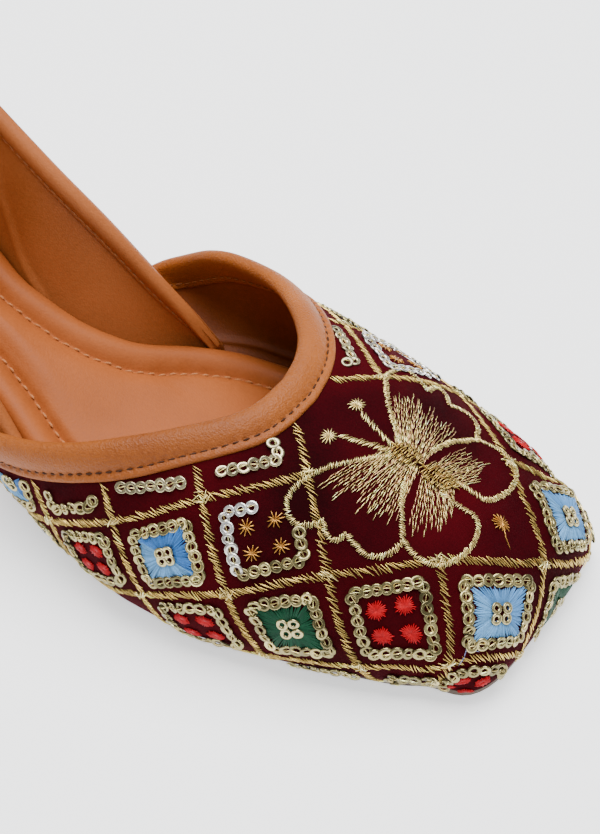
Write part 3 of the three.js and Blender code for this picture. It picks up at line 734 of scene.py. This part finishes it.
def spineOf(path):
    x = np.clip(path[:, 0], path[:, 0].min() + 22, path[:, 0].max() - 16)
    half = len(path) // 2
    near = path[:half][np.argsort(path[:half, 0])]
    far = path[half:][np.argsort(path[half:, 0])]
    return np.stack([x, (np.interp(x, near[:, 0], near[:, 1]) + np.interp(x, far[:, 0], far[:, 1])) / 2], 1)


# Closed skin over a stack of loops
def loopSkin(name, grid, mat, nodes):
    return makePiece(name, grid.reshape(-1, 3), gridFaces(*grid.shape[:2], loop=True), mat, nodes,
                     weld=True, closed=True)


def ringSkin(name, path, rings, fills, height, mat, nodes):
    way = inwardOf(path)
    loops = [path + way * d for d, _ in rings]
    rises = [r for _, r in rings]
    last, rim = loops[-1], rises[-1]
    spine = spineOf(path)
    for k in range(1, fills + 1):
        f = k / fills
        loops.append(last + (spine - last) * f)
        rises.append((rim, f))
    grid = np.array([np.column_stack([p, height(p, r, i)]) for i, (p, r) in enumerate(zip(loops, rises))])
    grid = swing(grid)
    return grid, loopSkin(name, grid, mat, nodes)


pad = dict(pitch=3.0, stitch=(2.1, .75, .55), channel=8.5, pucker=.3, puckerRun=1.3, dome=1.3, domePower=2.2,
           rings=((0, 0), (-.1, 1.5), (-.15, 3), (0, 4.4), (.35, 5.5), (.9, 6.4), (1.8, 7.1), (2.9, 7.5),
                  (4.1, 7.55), (5.3, 7.25), (6.4, 6.6), (7.3, 5.75), (7.9, 5.0), (8.3, 4.55), (8.6, 4.5),
                  (9.0, 4.8), (9.6, 5.6), (10.4, 6.45), (11.3, 6.95)))
padPath = outline(shoe['wall'] * 2 - shoe['lap'] + .3)
padWalk = arcs(padPath)


def padHeight(p, rise, i):
    base = soleTop(shareOf(p[:, 0])) + shoe['gap']
    if isinstance(rise, tuple):
        return base + rise[0] + (1 - (1 - rise[1]) ** pad['domePower']) * pad['dome'] + creases(p) * rise[1]
    near = abs(pad['rings'][i][0] - pad['channel']) < pad['puckerRun']
    return base + rise + (pad['pucker'] * ripple(padWalk, pad['pitch']) if near else 0)


# Soft folds that the foot has pressed into the pad: (x, y, way in degrees, length, width, depth)
folds = ((71, -7, -15, 34, 3.2, .55), (100, 13.5, -3, 13, 1.5, -.4), (93, 9, 28, 16, 3, .3),
         (112, -8, 16, 30, 6, .25))


def creases(p):
    out = 0
    for x, y, degrees, length, width, depth in folds:
        c, s = math.cos(math.radians(degrees)), math.sin(math.radians(degrees))
        u = (p[:, 0] - x) * c + (p[:, 1] - y) * s
        v = -(p[:, 0] - x) * s + (p[:, 1] - y) * c
        out = out + depth * np.exp(-(u / length * 2) ** 2 - (v / width) ** 2)
    return out


padGrid, insole = ringSkin('insolePad', padPath, pad['rings'], 22, padHeight, insoleLeather,
                           ('insole',))

solePath = outline(.5)


def soleHeight(p, rise):
    return underside(np.clip(shareOf(p[:, 0]), 0, 1)) + rise


def platePiece(name, path, edge, fills, mat, nodes):
    way, spine = inwardOf(path), spineOf(path)
    lower, upper = path + way * edge[0][0], path + way * edge[-1][0]
    loops = [(spine + (lower - spine) * k / fills, edge[0][1]) for k in range(fills)]
    loops += [(path + way * d, r) for d, r in edge]
    loops += [(upper + (spine - upper) * k / fills, edge[-1][1]) for k in range(1, fills + 1)]
    grid = swing(np.array([np.column_stack([p, soleHeight(p, r)]) for p, r in loops]))
    loopSkin(name, grid, mat, nodes)


platePiece('soleRubber', solePath, ((.7, 0), (.25, .1), (0, .5), (0, 2.3), (.2, 2.7), (.6, 2.8)), 8,
           soleRubber, ('outsole',))

# Heel
heelSize = dict(seatLength=52, topLength=40, topWidth=42, topPiece=5, inset=1, waist=.06, joint=.1)


def heelOutline(length, width):
    a = np.linspace(0, math.pi, 44)
    radius = width / 2
    back = np.stack([-np.sin(a) ** .9 * radius, -np.cos(a) * radius], 1)
    straight = length - radius
    far = np.stack([np.linspace(0, straight, 12)[1:], np.full(11, radius)], 1)
    breast = np.stack([np.full(12, straight), np.linspace(radius, -radius, 14)[1:-1]], 1)
    near = far[::-1] * (1, -1)
    return np.concatenate([back, far, breast, near])


def heelRings():
    seatWidth = halfBall * (foot['near'](.14) + foot['far'](.14)) - 2 * heelSize['inset']
    seat = heelOutline(heelSize['seatLength'] - 2 * heelSize['inset'], seatWidth)
    base = heelOutline(heelSize['topLength'], heelSize['topWidth'])
    seatX = heelBack + seatWidth / 2 + heelSize['inset']
    baseX = -heelSize['topLength'] / 2 + heelSize['topWidth'] / 2
    rings = []
    for t in np.linspace(0, 1, 26):
        ease = t ** 1.5
        waist = 1 - math.sin(math.pi * t) * heelSize['waist']
        x = (baseX + base[:, 0]) * (1 - ease) + (seatX + seat[:, 0]) * ease
        y = base[:, 1] * (1 - ease) + seat[:, 1] * ease
        low = heelSize['topPiece'] + heelSize['joint']
        z = low + (underside(shareOf(seatX + seat[:, 0])) - heelSize['joint'] - low) * t
        rings.append(np.stack([x * waist, y * waist, z], 1))
    return np.array(rings), baseX, base


rings, baseX, base = heelRings()
cappedPiece('heelBlock', rings, bindingLeather, ('heel',))
levels = np.array([np.column_stack([(base[:, 0]) * f + baseX, base[:, 1] * f, np.full(len(base), z)])
                   for z, f in ((0, .985), (.4, 1), (4.8, 1), (5, .995))])
cappedPiece('heelTopPiece', levels, heelRubber, ('heel_top_piece',))
for name in ('heelBlock', 'heelTopPiece'):
    mesh = bpy.data.objects[name].data
    for poly in mesh.polygons:
        if len(poly.vertices) > 4:
            poly.use_smooth = False


# Stitches and sequins, laid on points by one node group
def stitchTree():
    tree = bpy.data.node_groups.new('laidStitches', 'GeometryNodeTree')
    for name, kind in (('Geometry', 'Geometry'), ('Stitch', 'Object'), ('Material', 'Material'),
                       ('Turn', 'Float'), ('Seed', 'Int')):
        tree.interface.new_socket(name, in_out='INPUT', socket_type='NodeSocket' + kind)
    tree.interface.new_socket('Geometry', in_out='OUTPUT', socket_type='NodeSocketGeometry')
    enter = addNode(tree, 'NodeGroupInput')
    given = {socket.name: Wire(tree, socket) for socket in enter.outputs if socket.name}

    def output(node):
        return Wire(tree, [socket for socket in node.outputs if socket.enabled][0])

    def named(name):
        settings = dict(data_type='FLOAT_VECTOR')
        return output(addNode(tree, 'GeometryNodeInputNamedAttribute', settings, dict(Name=name)))

    laid = output(addNode(tree, 'FunctionNodeAxesToRotation', dict(primary_axis='Z', secondary_axis='X'),
                          {0: named('upWay'), 1: named('alongWay')}))
    # The Float pair of the random node's inputs is numbers 2 and 3
    spread = output(addNode(tree, 'FunctionNodeRandomValue', dict(data_type='FLOAT'),
                            {2: given['Turn'] * -1, 3: given['Turn'], 'Seed': given['Seed']}))
    twist = output(addNode(tree, 'FunctionNodeAxisAngleToRotation', None, {0: (0, 0, 1), 1: spread}))
    turned = output(addNode(tree, 'FunctionNodeRotateRotation', dict(rotation_space='LOCAL'),
                            {0: laid, 1: twist}))
    source = addNode(tree, 'GeometryNodeObjectInfo', None, dict(Object=given['Stitch']))
    lay = output(addNode(tree, 'GeometryNodeInstanceOnPoints', None, dict(
        Points=given['Geometry'], Instance=Wire(tree, source.outputs['Geometry']), Rotation=turned,
        Scale=named('sizeWay'))))
    real = output(addNode(tree, 'GeometryNodeRealizeInstances', None, {0: lay}))
    paint = output(addNode(tree, 'GeometryNodeSetMaterial', None,
                           dict(Geometry=real, Material=given['Material'])))
    addNode(tree, 'NodeGroupOutput', None, {0: paint})
    return tree


stitchNodes = stitchTree()


def shapeObject(name, points, faces):
    mesh = bpy.data.meshes.new(name)
    mesh.from_pydata(points.tolist(), [], [list(f) for f in faces])
    mesh.polygons.foreach_set('use_smooth', [True] * len(mesh.polygons))
    return newObject(name, mesh)


# Half thread of unit length, width and height, lying on its open side
def threadShape():
    stations = np.array([(-.5, .3), (-.34, .85), (0, 1), (.34, .85), (.5, .3)])
    angles = np.radians([-25, 40, 90, 140, 205])
    points = [(x, math.cos(a) * .5 * r, math.sin(a) * .7 * r + .45 * (1 - 4 * x * x) - .1)
              for x, r in stations for a in angles]
    return shapeObject('threadShape', np.array(points), gridFaces(5, 5))


def sequinShape():
    profile = np.array([(.5, -.3), (.5, .25), (.44, .5), (.3, .3), (.215, .15), (.205, -.3)])
    turns = np.linspace(0, 2 * math.pi, 16, endpoint=False)
    points = [(r * math.cos(a), r * math.sin(a), z) for r, z in profile for a in turns]
    return shapeObject('sequinShape', np.array(points), gridFaces(6, 16, loop=True, flip=True))


def layStitches(name, rows, shape, mat, turn, seed):
    at, up, along, size, tint = (np.concatenate([np.atleast_2d(r[k]) for r in rows]) for k in range(5))
    mesh = bpy.data.meshes.new(name)
    mesh.from_pydata((at * .001).tolist(), [], [])
    addAttribute(mesh, 'upWay', up)
    addAttribute(mesh, 'alongWay', along)
    addAttribute(mesh, 'sizeWay', size * .001)
    addAttribute(mesh, 'tint', np.column_stack([tint, np.ones(len(tint))]), 'FLOAT_COLOR')
    obj = newObject(name, mesh)
    mod = obj.modifiers.new('stitches', 'NODES')
    mod.node_group = stitchNodes
    ids = {s.name: s.identifier for s in stitchNodes.interface.items_tree if s.in_out == 'INPUT'}
    for key, value in dict(Stitch=shape, Material=mat, Turn=turn, Seed=seed).items():
        mod[ids[key]] = value
    obj.update_tag()
    graph = bpy.context.evaluated_depsgraph_get()
    done = bpy.data.meshes.new_from_object(obj.evaluated_get(graph))
    obj.modifiers.remove(mod)
    obj.data = done
    for spare in ('upWay', 'alongWay', 'sizeWay'):
        if spare in done.attributes:
            done.attributes.remove(done.attributes[spare])
    ridePiece(obj)


thread, sequin = threadShape(), sequinShape()
rng = np.random.default_rng(7)
gold, paleGold = np.array((.62, .44, .13)), np.array((.84, .67, .28))
rose = np.array((.74, .46, .24))


pattern = dict(run=(176, 16.6, -.87, .28, -.06), girth=(.9, .9, 17.8, -.07, -.08))


# The embroidery's own grid: s steps forward along the ridge, d to the inner side, one cell each
def onPattern(s, d):
    start, step, bow, growth, squeeze = pattern['run']
    run = start + step * s + bow * d ** 2 + growth * s ** 2 + squeeze * s * d ** 2
    start, lean, step, bow, squeeze = pattern['girth']
    girth = start + lean * s + step * d + bow * d ** 3 + squeeze * s ** 2 * d
    return run, girth


# Stitches by use: pitch along the line, then length, width and height, in millimetres
stitches = dict(
    lattice=dict(pitch=.74, size=(2.9, .29, .3), spread=.16, wobble=.16),
    knot=dict(pitch=.3, size=(2.2, .34, .4), slant=.3, lift=.35, tint=paleGold, spread=.9, wobble=.5),
    outline=dict(pitch=.43, size=(1.6, .3, .34), lift=.2, tint=paleGold, spread=.2, wobble=.1),
    antenna=dict(pitch=.6, size=(2.3, .36, .34), tint=paleGold),
    ray=dict(pitch=1.75, size=(2.0, .23, .28), slant=.1, spread=.08),
    body=dict(pitch=1.9, size=(2.3, .3, .5), lift=.75, spread=.1),
    sequin=dict(pitch=2.4, size=(3.1, 3.1, .5), lift=.4, spread=1.2, wobble=.1, tilt=.14),
    overSequin=dict(pitch=2.4, size=(2.2, .24, .3), lift=.62, tint=paleGold, spread=.2),
    stem=dict(pitch=2.4, size=(2.9, .24, .2)),
    jump=dict(pitch=2.4, size=(2.7, .2, .2), lift=.3),
    star=dict(lift=.25, stretch=1.05, size=(.34, .34), darkest=.75),
    satin=dict(lift=.16, stretch=1.04, size=(.46, .42), darkest=.7))
goldRows, silkRows, sequinRows = [], [], []


# Row of stitches along a line of the pattern. Slant turns each one, tilt leans it off the cloth.
def patternRow(store, sd, pitch, size, slant=0.0, lift=0.12, tint=gold, spread=.12, wobble=.12,
               tilt=0.0, margin=.6):
    sd = np.asarray(sd, float)
    parts = [np.linspace(a, b, 24, endpoint=False) for a, b in zip(sd[:-1], sd[1:])]
    fine = np.concatenate(parts + [sd[-1:]])
    run, girth = onPattern(fine[:, 0], fine[:, 1])
    walked = arcs(onCloth(cloth, run, girth))
    if walked[-1] < pitch:
        return
    count = max(int(round(walked[-1] / pitch)), 1)
    where = (np.arange(count) + .5) / count * walked[-1]
    run, girth = np.interp(where, walked, run), np.interp(where, walked, girth)
    good = onVelvet(run, girth, margin)
    if not good.any():
        return
    p, n = clothFrame(cloth, run, girth)
    ahead = np.gradient(p, axis=0) if count > 1 else np.array([[1.0, 0, 0]])
    ahead -= (ahead * n).sum(1, keepdims=True) * n
    ahead = unit(ahead)
    side = np.cross(n, ahead)
    angle = slant + rng.normal(0, spread, count)
    along = ahead * np.cos(angle)[:, None] + side * np.sin(angle)[:, None]
    at = p + n * lift + side * rng.normal(0, wobble, count)[:, None]
    up = n + ahead * (tilt + rng.normal(0, abs(tilt), count)[:, None])
    up = up + side * rng.normal(0, abs(tilt), count)[:, None]
    sizes = np.array(size) * (1 + rng.normal(0, .07, (count, 3)))
    tints = tint * np.exp(rng.normal(0, .32, (count, 1)))
    store.append(tuple(v[good] for v in (at, up, along, sizes, np.clip(tints, 0, 1))))


def smoothLine(points, times=3):
    points = np.asarray(points, float)
    for _ in range(times):
        a, b = points[:-1], points[1:]
        middle = np.stack([a * .75 + b * .25, a * .25 + b * .75], 1).reshape(-1, points.shape[1])
        points = np.concatenate([points[:1], middle, points[-1:]])
    return points


def fromAB(a, b):
    return np.stack([np.asarray(a) + b, np.asarray(b) - a], -1).astype(float)


butterfly = dict(
    near=dict(
        lines=(((-.27, -.18), (-.54, -.48), (-.84, -.8), (-.97, -1.03), (-1.05, -1.26), (-1.01, -1.49),
                (-.87, -1.62), (-.68, -1.66), (-.53, -1.56), (-.44, -1.43)),
               ((-.44, -1.43), (-.38, -1.53), (-.25, -1.6), (-.15, -1.54), (-.11, -1.41)),
               ((-.11, -1.41), (.03, -1.45), (.19, -1.5), (.36, -1.42), (.48, -1.25), (.5, -1.03)),
               ((.48, -1.03), (.18, -.6), (.08, -.36)),
               ((.48, -1.03), (.67, -1.11), (.85, -1.13), (1.05, -1.07), (1.14, -.9), (1.21, -.63),
                (1.18, -.37), (1.09, -.19), (.97, -.18), (.72, -.2), (.5, -.14))),
        antenna=((-.95, -.3), (-.68, -.25), (-.3, -.1)), star=(-1.07, -.39),
        foreTips=((-.8, -1.04), (-.6, -1.1), (-.37, -1.06), (-.12, -1.06), (.26, -.91)),
        hindTips=((.46, -.9), (.6, -.84), (.8, -.7), (.8, -.36))),
    far=dict(
        lines=(((-.28, .11), (-.61, .45), (-.96, 1.02), (-.94, 1.25), (-.84, 1.53), (-.68, 1.55),
                (-.46, 1.39), (-.36, 1.31)),
               ((-.36, 1.31), (-.33, 1.52), (-.24, 1.62), (-.12, 1.53), (-.03, 1.34)),
               ((-.03, 1.34), (.12, 1.43), (.22, 1.48), (.37, 1.41), (.46, 1.23), (.51, 1.03)),
               ((.51, 1.03), (.37, .81), (.24, .65), (.13, .3)),
               ((.51, 1.03), (.69, 1.1), (.9, 1.12), (1.08, 1.02), (1.18, .81), (1.18, .53),
                (1.12, .3), (1.03, .12), (.89, .12), (.71, .12), (.54, .11))),
        antenna=((-.92, .2), (-.61, .06), (-.3, -.02)), star=(-1.02, .27),
        foreTips=((-.74, .84), (-.5, 1.05), (-.26, .94), (-.06, .99), (.24, .89)),
        hindTips=((.46, .76), (.58, .7), (.82, .74), (.82, .33))),
    foreRoots=((-.28, 0), (.12, 0)), hindRoots=((.16, 0), (.6, 0)), foreCount=25, hindCount=18)


# Lattice of slanted gold stitches, left open inside the butterfly
def latticeRows():
    for k in range(-5, 6):
        for swap in (False, True):
            for j in np.arange(-6, 6):
                if k == 0 and j in (-1, 0):
                    continue
                a, b = np.full(2, float(k)), np.array([j, j + 1.0])
                line = fromAB(b, a) if swap else fromAB(a, b)
                line = np.stack([line[0] + (line[1] - line[0]) * t for t in np.linspace(.02, .98, 4)])
                patternRow(goldRows, line, slant=.72 if swap else -.72, **stitches['lattice'])
            for j in range(-6, 6):
                if swap or (k == 0 and j == 0):
                    continue
                knot = fromAB(np.array([k, k]), np.array([j - .06, j + .06]))
                patternRow(goldRows, knot, **stitches['knot'])


# One long stitch between two places of the pattern, left out where it leaves the velvet
def longStitch(store, line, tint, lift, stretch, size, darkest):
    run, girth = onPattern(*line.T)
    if not onVelvet(run, girth, .8).all():
        return
    p, n = clothFrame(cloth, run, girth)
    way = p[1] - p[0]
    sizes = (np.linalg.norm(way) * stretch, *size)
    shade = np.clip(tint * rng.uniform(darkest, 1.2), 0, 1)
    store.append(tuple(np.atleast_2d(v) for v in (p.mean(0) + n[0] * lift, n[0], way, sizes, shade)))


def starRows(centre, reach, count, tint, store):
    s, d = centre
    ring = np.linspace(0, 2 * math.pi, count, endpoint=False) + rng.uniform(0, .3)
    for a in ring:
        far = reach * rng.uniform(.8, 1.1)
        line = np.array([(s, d), (s + far * math.cos(a), d + far * math.sin(a))])
        longStitch(store, line, tint, **stitches['star'])


def rayRows(roots, tips, count):
    roots, tips = np.array(roots), np.array(tips)
    walked = arcs(tips)
    for k in range(count):
        f = k / (count - 1)
        root = roots[0] + (roots[1] - roots[0]) * f
        tip = alongPath(tips, f * walked[-1], walked)
        tip = root + (tip - root) * rng.uniform(.82, 1.07)
        for part, steps in enumerate(((.06, .5, 1), (.04, .3, .5))[:1 + k % 2]):
            line = np.array([root + (tip - root) * t for t in steps])
            patternRow(goldRows, line, lift=.14 + .14 * part, tint=paleGold if k % 3 else rose,
                       wobble=.12 + .25 * part, **stitches['ray'])


def butterflyRows():
    for name in ('near', 'far'):
        half = butterfly[name]
        slant = -1.15 * sideSign[name]
        for line in half['lines']:
            patternRow(goldRows, smoothLine(line, 2), slant=slant, **stitches['outline'])
        antenna = smoothLine(half['antenna'])
        patternRow(goldRows, antenna, slant=-.75 * sideSign[name], **stitches['antenna'])
        starRows(half['star'], .125, 14, paleGold, goldRows)
        rayRows(butterfly['foreRoots'], half['foreTips'], butterfly['foreCount'])
        rayRows(butterfly['hindRoots'], half['hindTips'], butterfly['hindCount'])
    for s0, s1, half in ((-.3, .1, .15), (.12, .64, .16)):
        for s in np.arange(s0, s1, .034):
            bell = math.sqrt(max(1 - ((s - (s0 + s1) / 2) / (s1 - s0) * 2) ** 2, .15))
            line = np.array([(s - .03, -half * bell), (s + .03, half * bell)])
            patternRow(goldRows, line, **stitches['body'])


def sequinLine(line, tint, margin=1.5):
    patternRow(sequinRows, line, tint=tint, margin=margin, **stitches['sequin'])
    patternRow(goldRows, line, margin=margin, **stitches['overSequin'])


dullSequin, brightSequin = np.array((.36, .31, .14)), np.array((.95, .93, .86))


# Ring of sequins on the sides of a square, with a thread over each; the sides are a+, b+, a-, b-
def ringRows(a0, b0, half, sides=(1, 1, 1, 1), bright=0.0):
    corners = np.array([(-1, -1), (1, -1), (1, 1), (-1, 1), (-1, -1)]) * half + (a0, b0)
    for k, keep in enumerate(sides):
        if not keep:
            continue
        p, q = corners[k], corners[k + 1]
        if keep < 1:
            q = p + (q - p) * keep
        elif keep > 1:
            p = p + (q - p) * (keep - 1)
        line = fromAB(*np.array([p, q]).T)
        sequinLine(line, dullSequin if rng.uniform() > bright else brightSequin)


def satinSquare(a0, b0, outer, hole, tint, second):
    for turn in range(4):
        shade = second if turn in (1, 2) else tint
        c, s = (1, 0, -1, 0)[turn], (0, 1, 0, -1)[turn]
        for f in np.linspace(-1, 1, 26):
            p = (hole, f * hole)
            q = (outer * rng.uniform(.9, 1.06), f * outer)
            a = np.array([p[0] * c - p[1] * s, q[0] * c - q[1] * s]) + a0
            b = np.array([p[0] * s + p[1] * c, q[0] * s + q[1] * c]) + b0
            longStitch(silkRows, fromAB(a, b), shade, **stitches['satin'])


def dotRow(store, s, d, size, tint, lift):
    run, girth = (np.atleast_1d(v) for v in onPattern(s, d))
    if onVelvet(run, girth, 1.6).all():
        p, n = clothFrame(cloth, run, girth)
        lean = n + rng.normal(0, .12, 3)
        store.append((p + n * lift, lean, np.atleast_2d(rng.normal(0, 1, 3)), np.atleast_2d(size),
                      np.atleast_2d(tint)))


clusterTint = np.array((.5, .44, .22))


def clusterRows(a0, b0, half):
    for da, db in ((-1, -1), (1, -1), (1, 1), (-1, 1)):
        s, d = fromAB(a0 + da * half, b0 + db * half)
        dotRow(sequinRows, s, d, (2.8, 2.8, .5), clusterTint * rng.uniform(.8, 1.2), .62)


def fourStars(a0, b0, tint, reach, off, count, store):
    for da in (-1, 1):
        for db in (-1, 1):
            starRows(fromAB(a0 + da * off, b0 + db * off), reach, count, tint, store)


blue, sky, red = np.array((.05, .19, .52)), np.array((.16, .4, .72)), np.array((.5, .004, .01))
green, orange, olive = np.array((.005, .07, .03)), np.array((.6, .3, .07)), np.array((.34, .28, .08))
# What each cell of the cloth holds: (steps forward, steps to the side, kind)
cells = ((-2, 3, 'blue'), (-1, 2, 'gold'), (1, 2, 'red'), (2, 1, 'sky'), (0, 3, 'green'), (-1, 4, 'red'),
         (-3, 4, 'red'), (-4, 3, 'olive'), (-5, 4, 'blue'), (2, 3, 'plain'), (3, 2, 'red'), (3, 0, 'green'),
         (4, 1, 'blue'), (1, 4, 'sky'), (-4, 5, 'green'), (-6, 3, 'red'))


# Satin squares: half the ring, satin, its middle and its sequins, then the two shades
squares = dict(blue=(.31, .265, .09, .045, sky, blue),
               sky=(.32, .26, .08, .055, sky, sky * .6 + blue * .4),
               green=(.31, .26, .02, .058, green, green),
               olive=(.31, .26, .02, .058, olive, olive))


def fillCell(s, d, kind):
    a0, b0 = (s - d) / 2, (s + d) / 2
    if kind in squares:
        ring, outer, hole, knot, tint, second = squares[kind]
        ringRows(a0, b0, ring)
        satinSquare(a0, b0, outer, hole, tint, second)
        clusterRows(a0, b0, knot)
    elif kind == 'red':
        ringRows(a0, b0, .32)
        fourStars(a0, b0, red, .135, .13, 26, silkRows)
    elif kind == 'gold':
        ringRows(a0, b0, .32, (1, 1, .5, 1.5) if d < 0 else (1, 1, 1, 1), .3)
        fourStars(a0, b0, orange, .125, .135, 10, goldRows)
    else:
        ringRows(a0, b0, .31)


# Short sequin rows in the cells cut off by the topline
cutRows = (((-3.2, 2.5), (-2.34, 1.92)), ((-2.03, 1.61), (-1.45, 1.02), (-1.69, .8)))
latticeRows()
butterflyRows()
for s, d, kind in cells:
    for sign in ((1, -1) if d else (1,)):
        fillCell(s, d * sign, kind)
for row in cutRows:
    for sign in (1, -1):
        sequinLine(np.array(row) * (1, sign), np.array((.5, .45, .27)), .7)
starRows((1.31, .03), .12, 16, orange, goldRows)
patternRow(goldRows, ((1.38, -.02), (1.52, -.19)), tint=orange, **stitches['stem'])
for line in (((1.98, -1.62), (2.2, -1.9)), ((2.1, -1.55), (2.22, -1.7)), ((-2.0, -3.5), (-1.9, -3.72))):
    patternRow(silkRows, line, tint=np.array((.3, .34, .6)), **stitches['jump'])

layStitches('goldThread', goldRows, thread, zari, .1, 3)
layStitches('silkThread', silkRows, thread, silk, .06, 4)
layStitches('sequins', sequinRows, sequin, sequinMetal, 3.1, 5)


# Seams of the leather, as rows of single stitches
def seamRow(points, ups, piece, tint=(.3, .1, .03)):
    walked = arcs(points)
    count = int(walked[-1] / piece['pitch'])
    where = (np.arange(count) + .5) * piece['pitch']
    at, up = alongPath(points, where, walked), alongPath(ups, where, walked)
    ahead = alongPath(points, where + .3, walked) - at
    sizes = np.array(piece['stitch']) * (1 + rng.normal(0, .05, (count, 3)))
    return at, up, ahead, sizes, np.tile(tint, (count, 1))


line, way = bandAt(band['stitchLine']), bandWay(band['stitchLine'])
# Thread tints: the first is near black, painted shade of the stitch holes on the binding's outer seam; the
# second is the tan thread's own colour
threadPaintedHoleShade, lightThread = (.06, .018, .005), (.46, .17, .06)
seams = [seamRow(line + way * .4, way, band, threadPaintedHoleShade)]
seams.append(seamRow(line - way * 2.5, -way, band))
drop = collar['stitchDrop']
line, way = collarAt(drop), collarWay(drop)
seams.append(seamRow(line - way * (shoe['wall'] + .3), -way, collar, lightThread))
seams.append(seamRow(line + way * .3, way, collar))
channel = [i for i, (d, _) in enumerate(pad['rings']) if abs(d - 8.6) < .01][0]
loop = padGrid[channel]
loop = np.concatenate([loop, loop[:1]])
upright = np.tile((0, 0, 1.0), (len(loop), 1))
seams.append(seamRow(loop + (0, 0, .12), upright, pad, lightThread))
layStitches('seams', seams, thread, seamThread, .05, 6)
for spare in (thread, sequin):
    bpy.data.objects.remove(spare)

# Stage, light and camera
stage = dict(size=6, world=(.93, .95, 1), worldStrength=.42, glow=.9)
bpy.ops.mesh.primitive_plane_add(size=stage['size'], location=(0, 0, 0))
floor = bpy.context.object
floor.name = 'floor'
paper = material('paper', plainLook((.95, .955, .965), (.94, .945, .955), 3), Roughness=.9,
                 Emission_Color=(.97, .985, 1, 1), Emission_Strength=stage['glow'])
floor.data.materials.append(paper)


def areaLight(name, place, target, size, power, colour):
    lamp = bpy.data.lights.new(name, 'AREA')
    lamp.shape = 'SQUARE'
    lamp.size, lamp.energy, lamp.color = size, power, colour
    obj = newObject(name, lamp)
    obj.location = place
    way = np.array(target) - np.array(place)
    obj.rotation_euler = Vector(way.tolist()).to_track_quat('-Z', 'Y').to_euler()


lights = dict(key=dict(place=(0, .3, 1.35), size=1.2, power=46, colour=(1, .994, .985)),
              front=dict(place=(.75, -.5, 1.0), size=.3, power=3, colour=(1, 1, 1)))
for name, lamp in lights.items():
    areaLight(name, target=(.12, 0, .02), **lamp)
world = bpy.data.worlds.new('studio')
bpy.context.scene.world = world
world.use_nodes = True
world.node_tree.nodes['Background'].inputs[0].default_value = (*stage['world'], 1)
world.node_tree.nodes['Background'].inputs[1].default_value = stage['worldStrength']

# The photo's view: turned round the shoe and lifted, in degrees
view = dict(turn=30, lift=46.5, spot=(.264294, -.203352, .286398), lens=62.82, sensor=36)
turn, lift = math.radians(view['turn']), math.radians(view['lift'])
right = (math.cos(turn), math.sin(turn), 0)
up = (-math.sin(turn) * math.sin(lift), math.cos(turn) * math.sin(lift), math.cos(lift))
back = (math.sin(turn) * math.cos(lift), -math.cos(turn) * math.cos(lift), math.sin(lift))
spot = view['spot']
lens = bpy.data.cameras.new('camera')
lens.sensor_fit, lens.sensor_height, lens.lens = 'VERTICAL', view['sensor'], view['lens']
lens.clip_start = .01
camera = newObject('camera', lens)
camera.matrix_world = Matrix([[right[k], up[k], back[k], spot[k]] for k in range(3)] + [[0, 0, 0, 1]])
bpy.context.scene.camera = camera
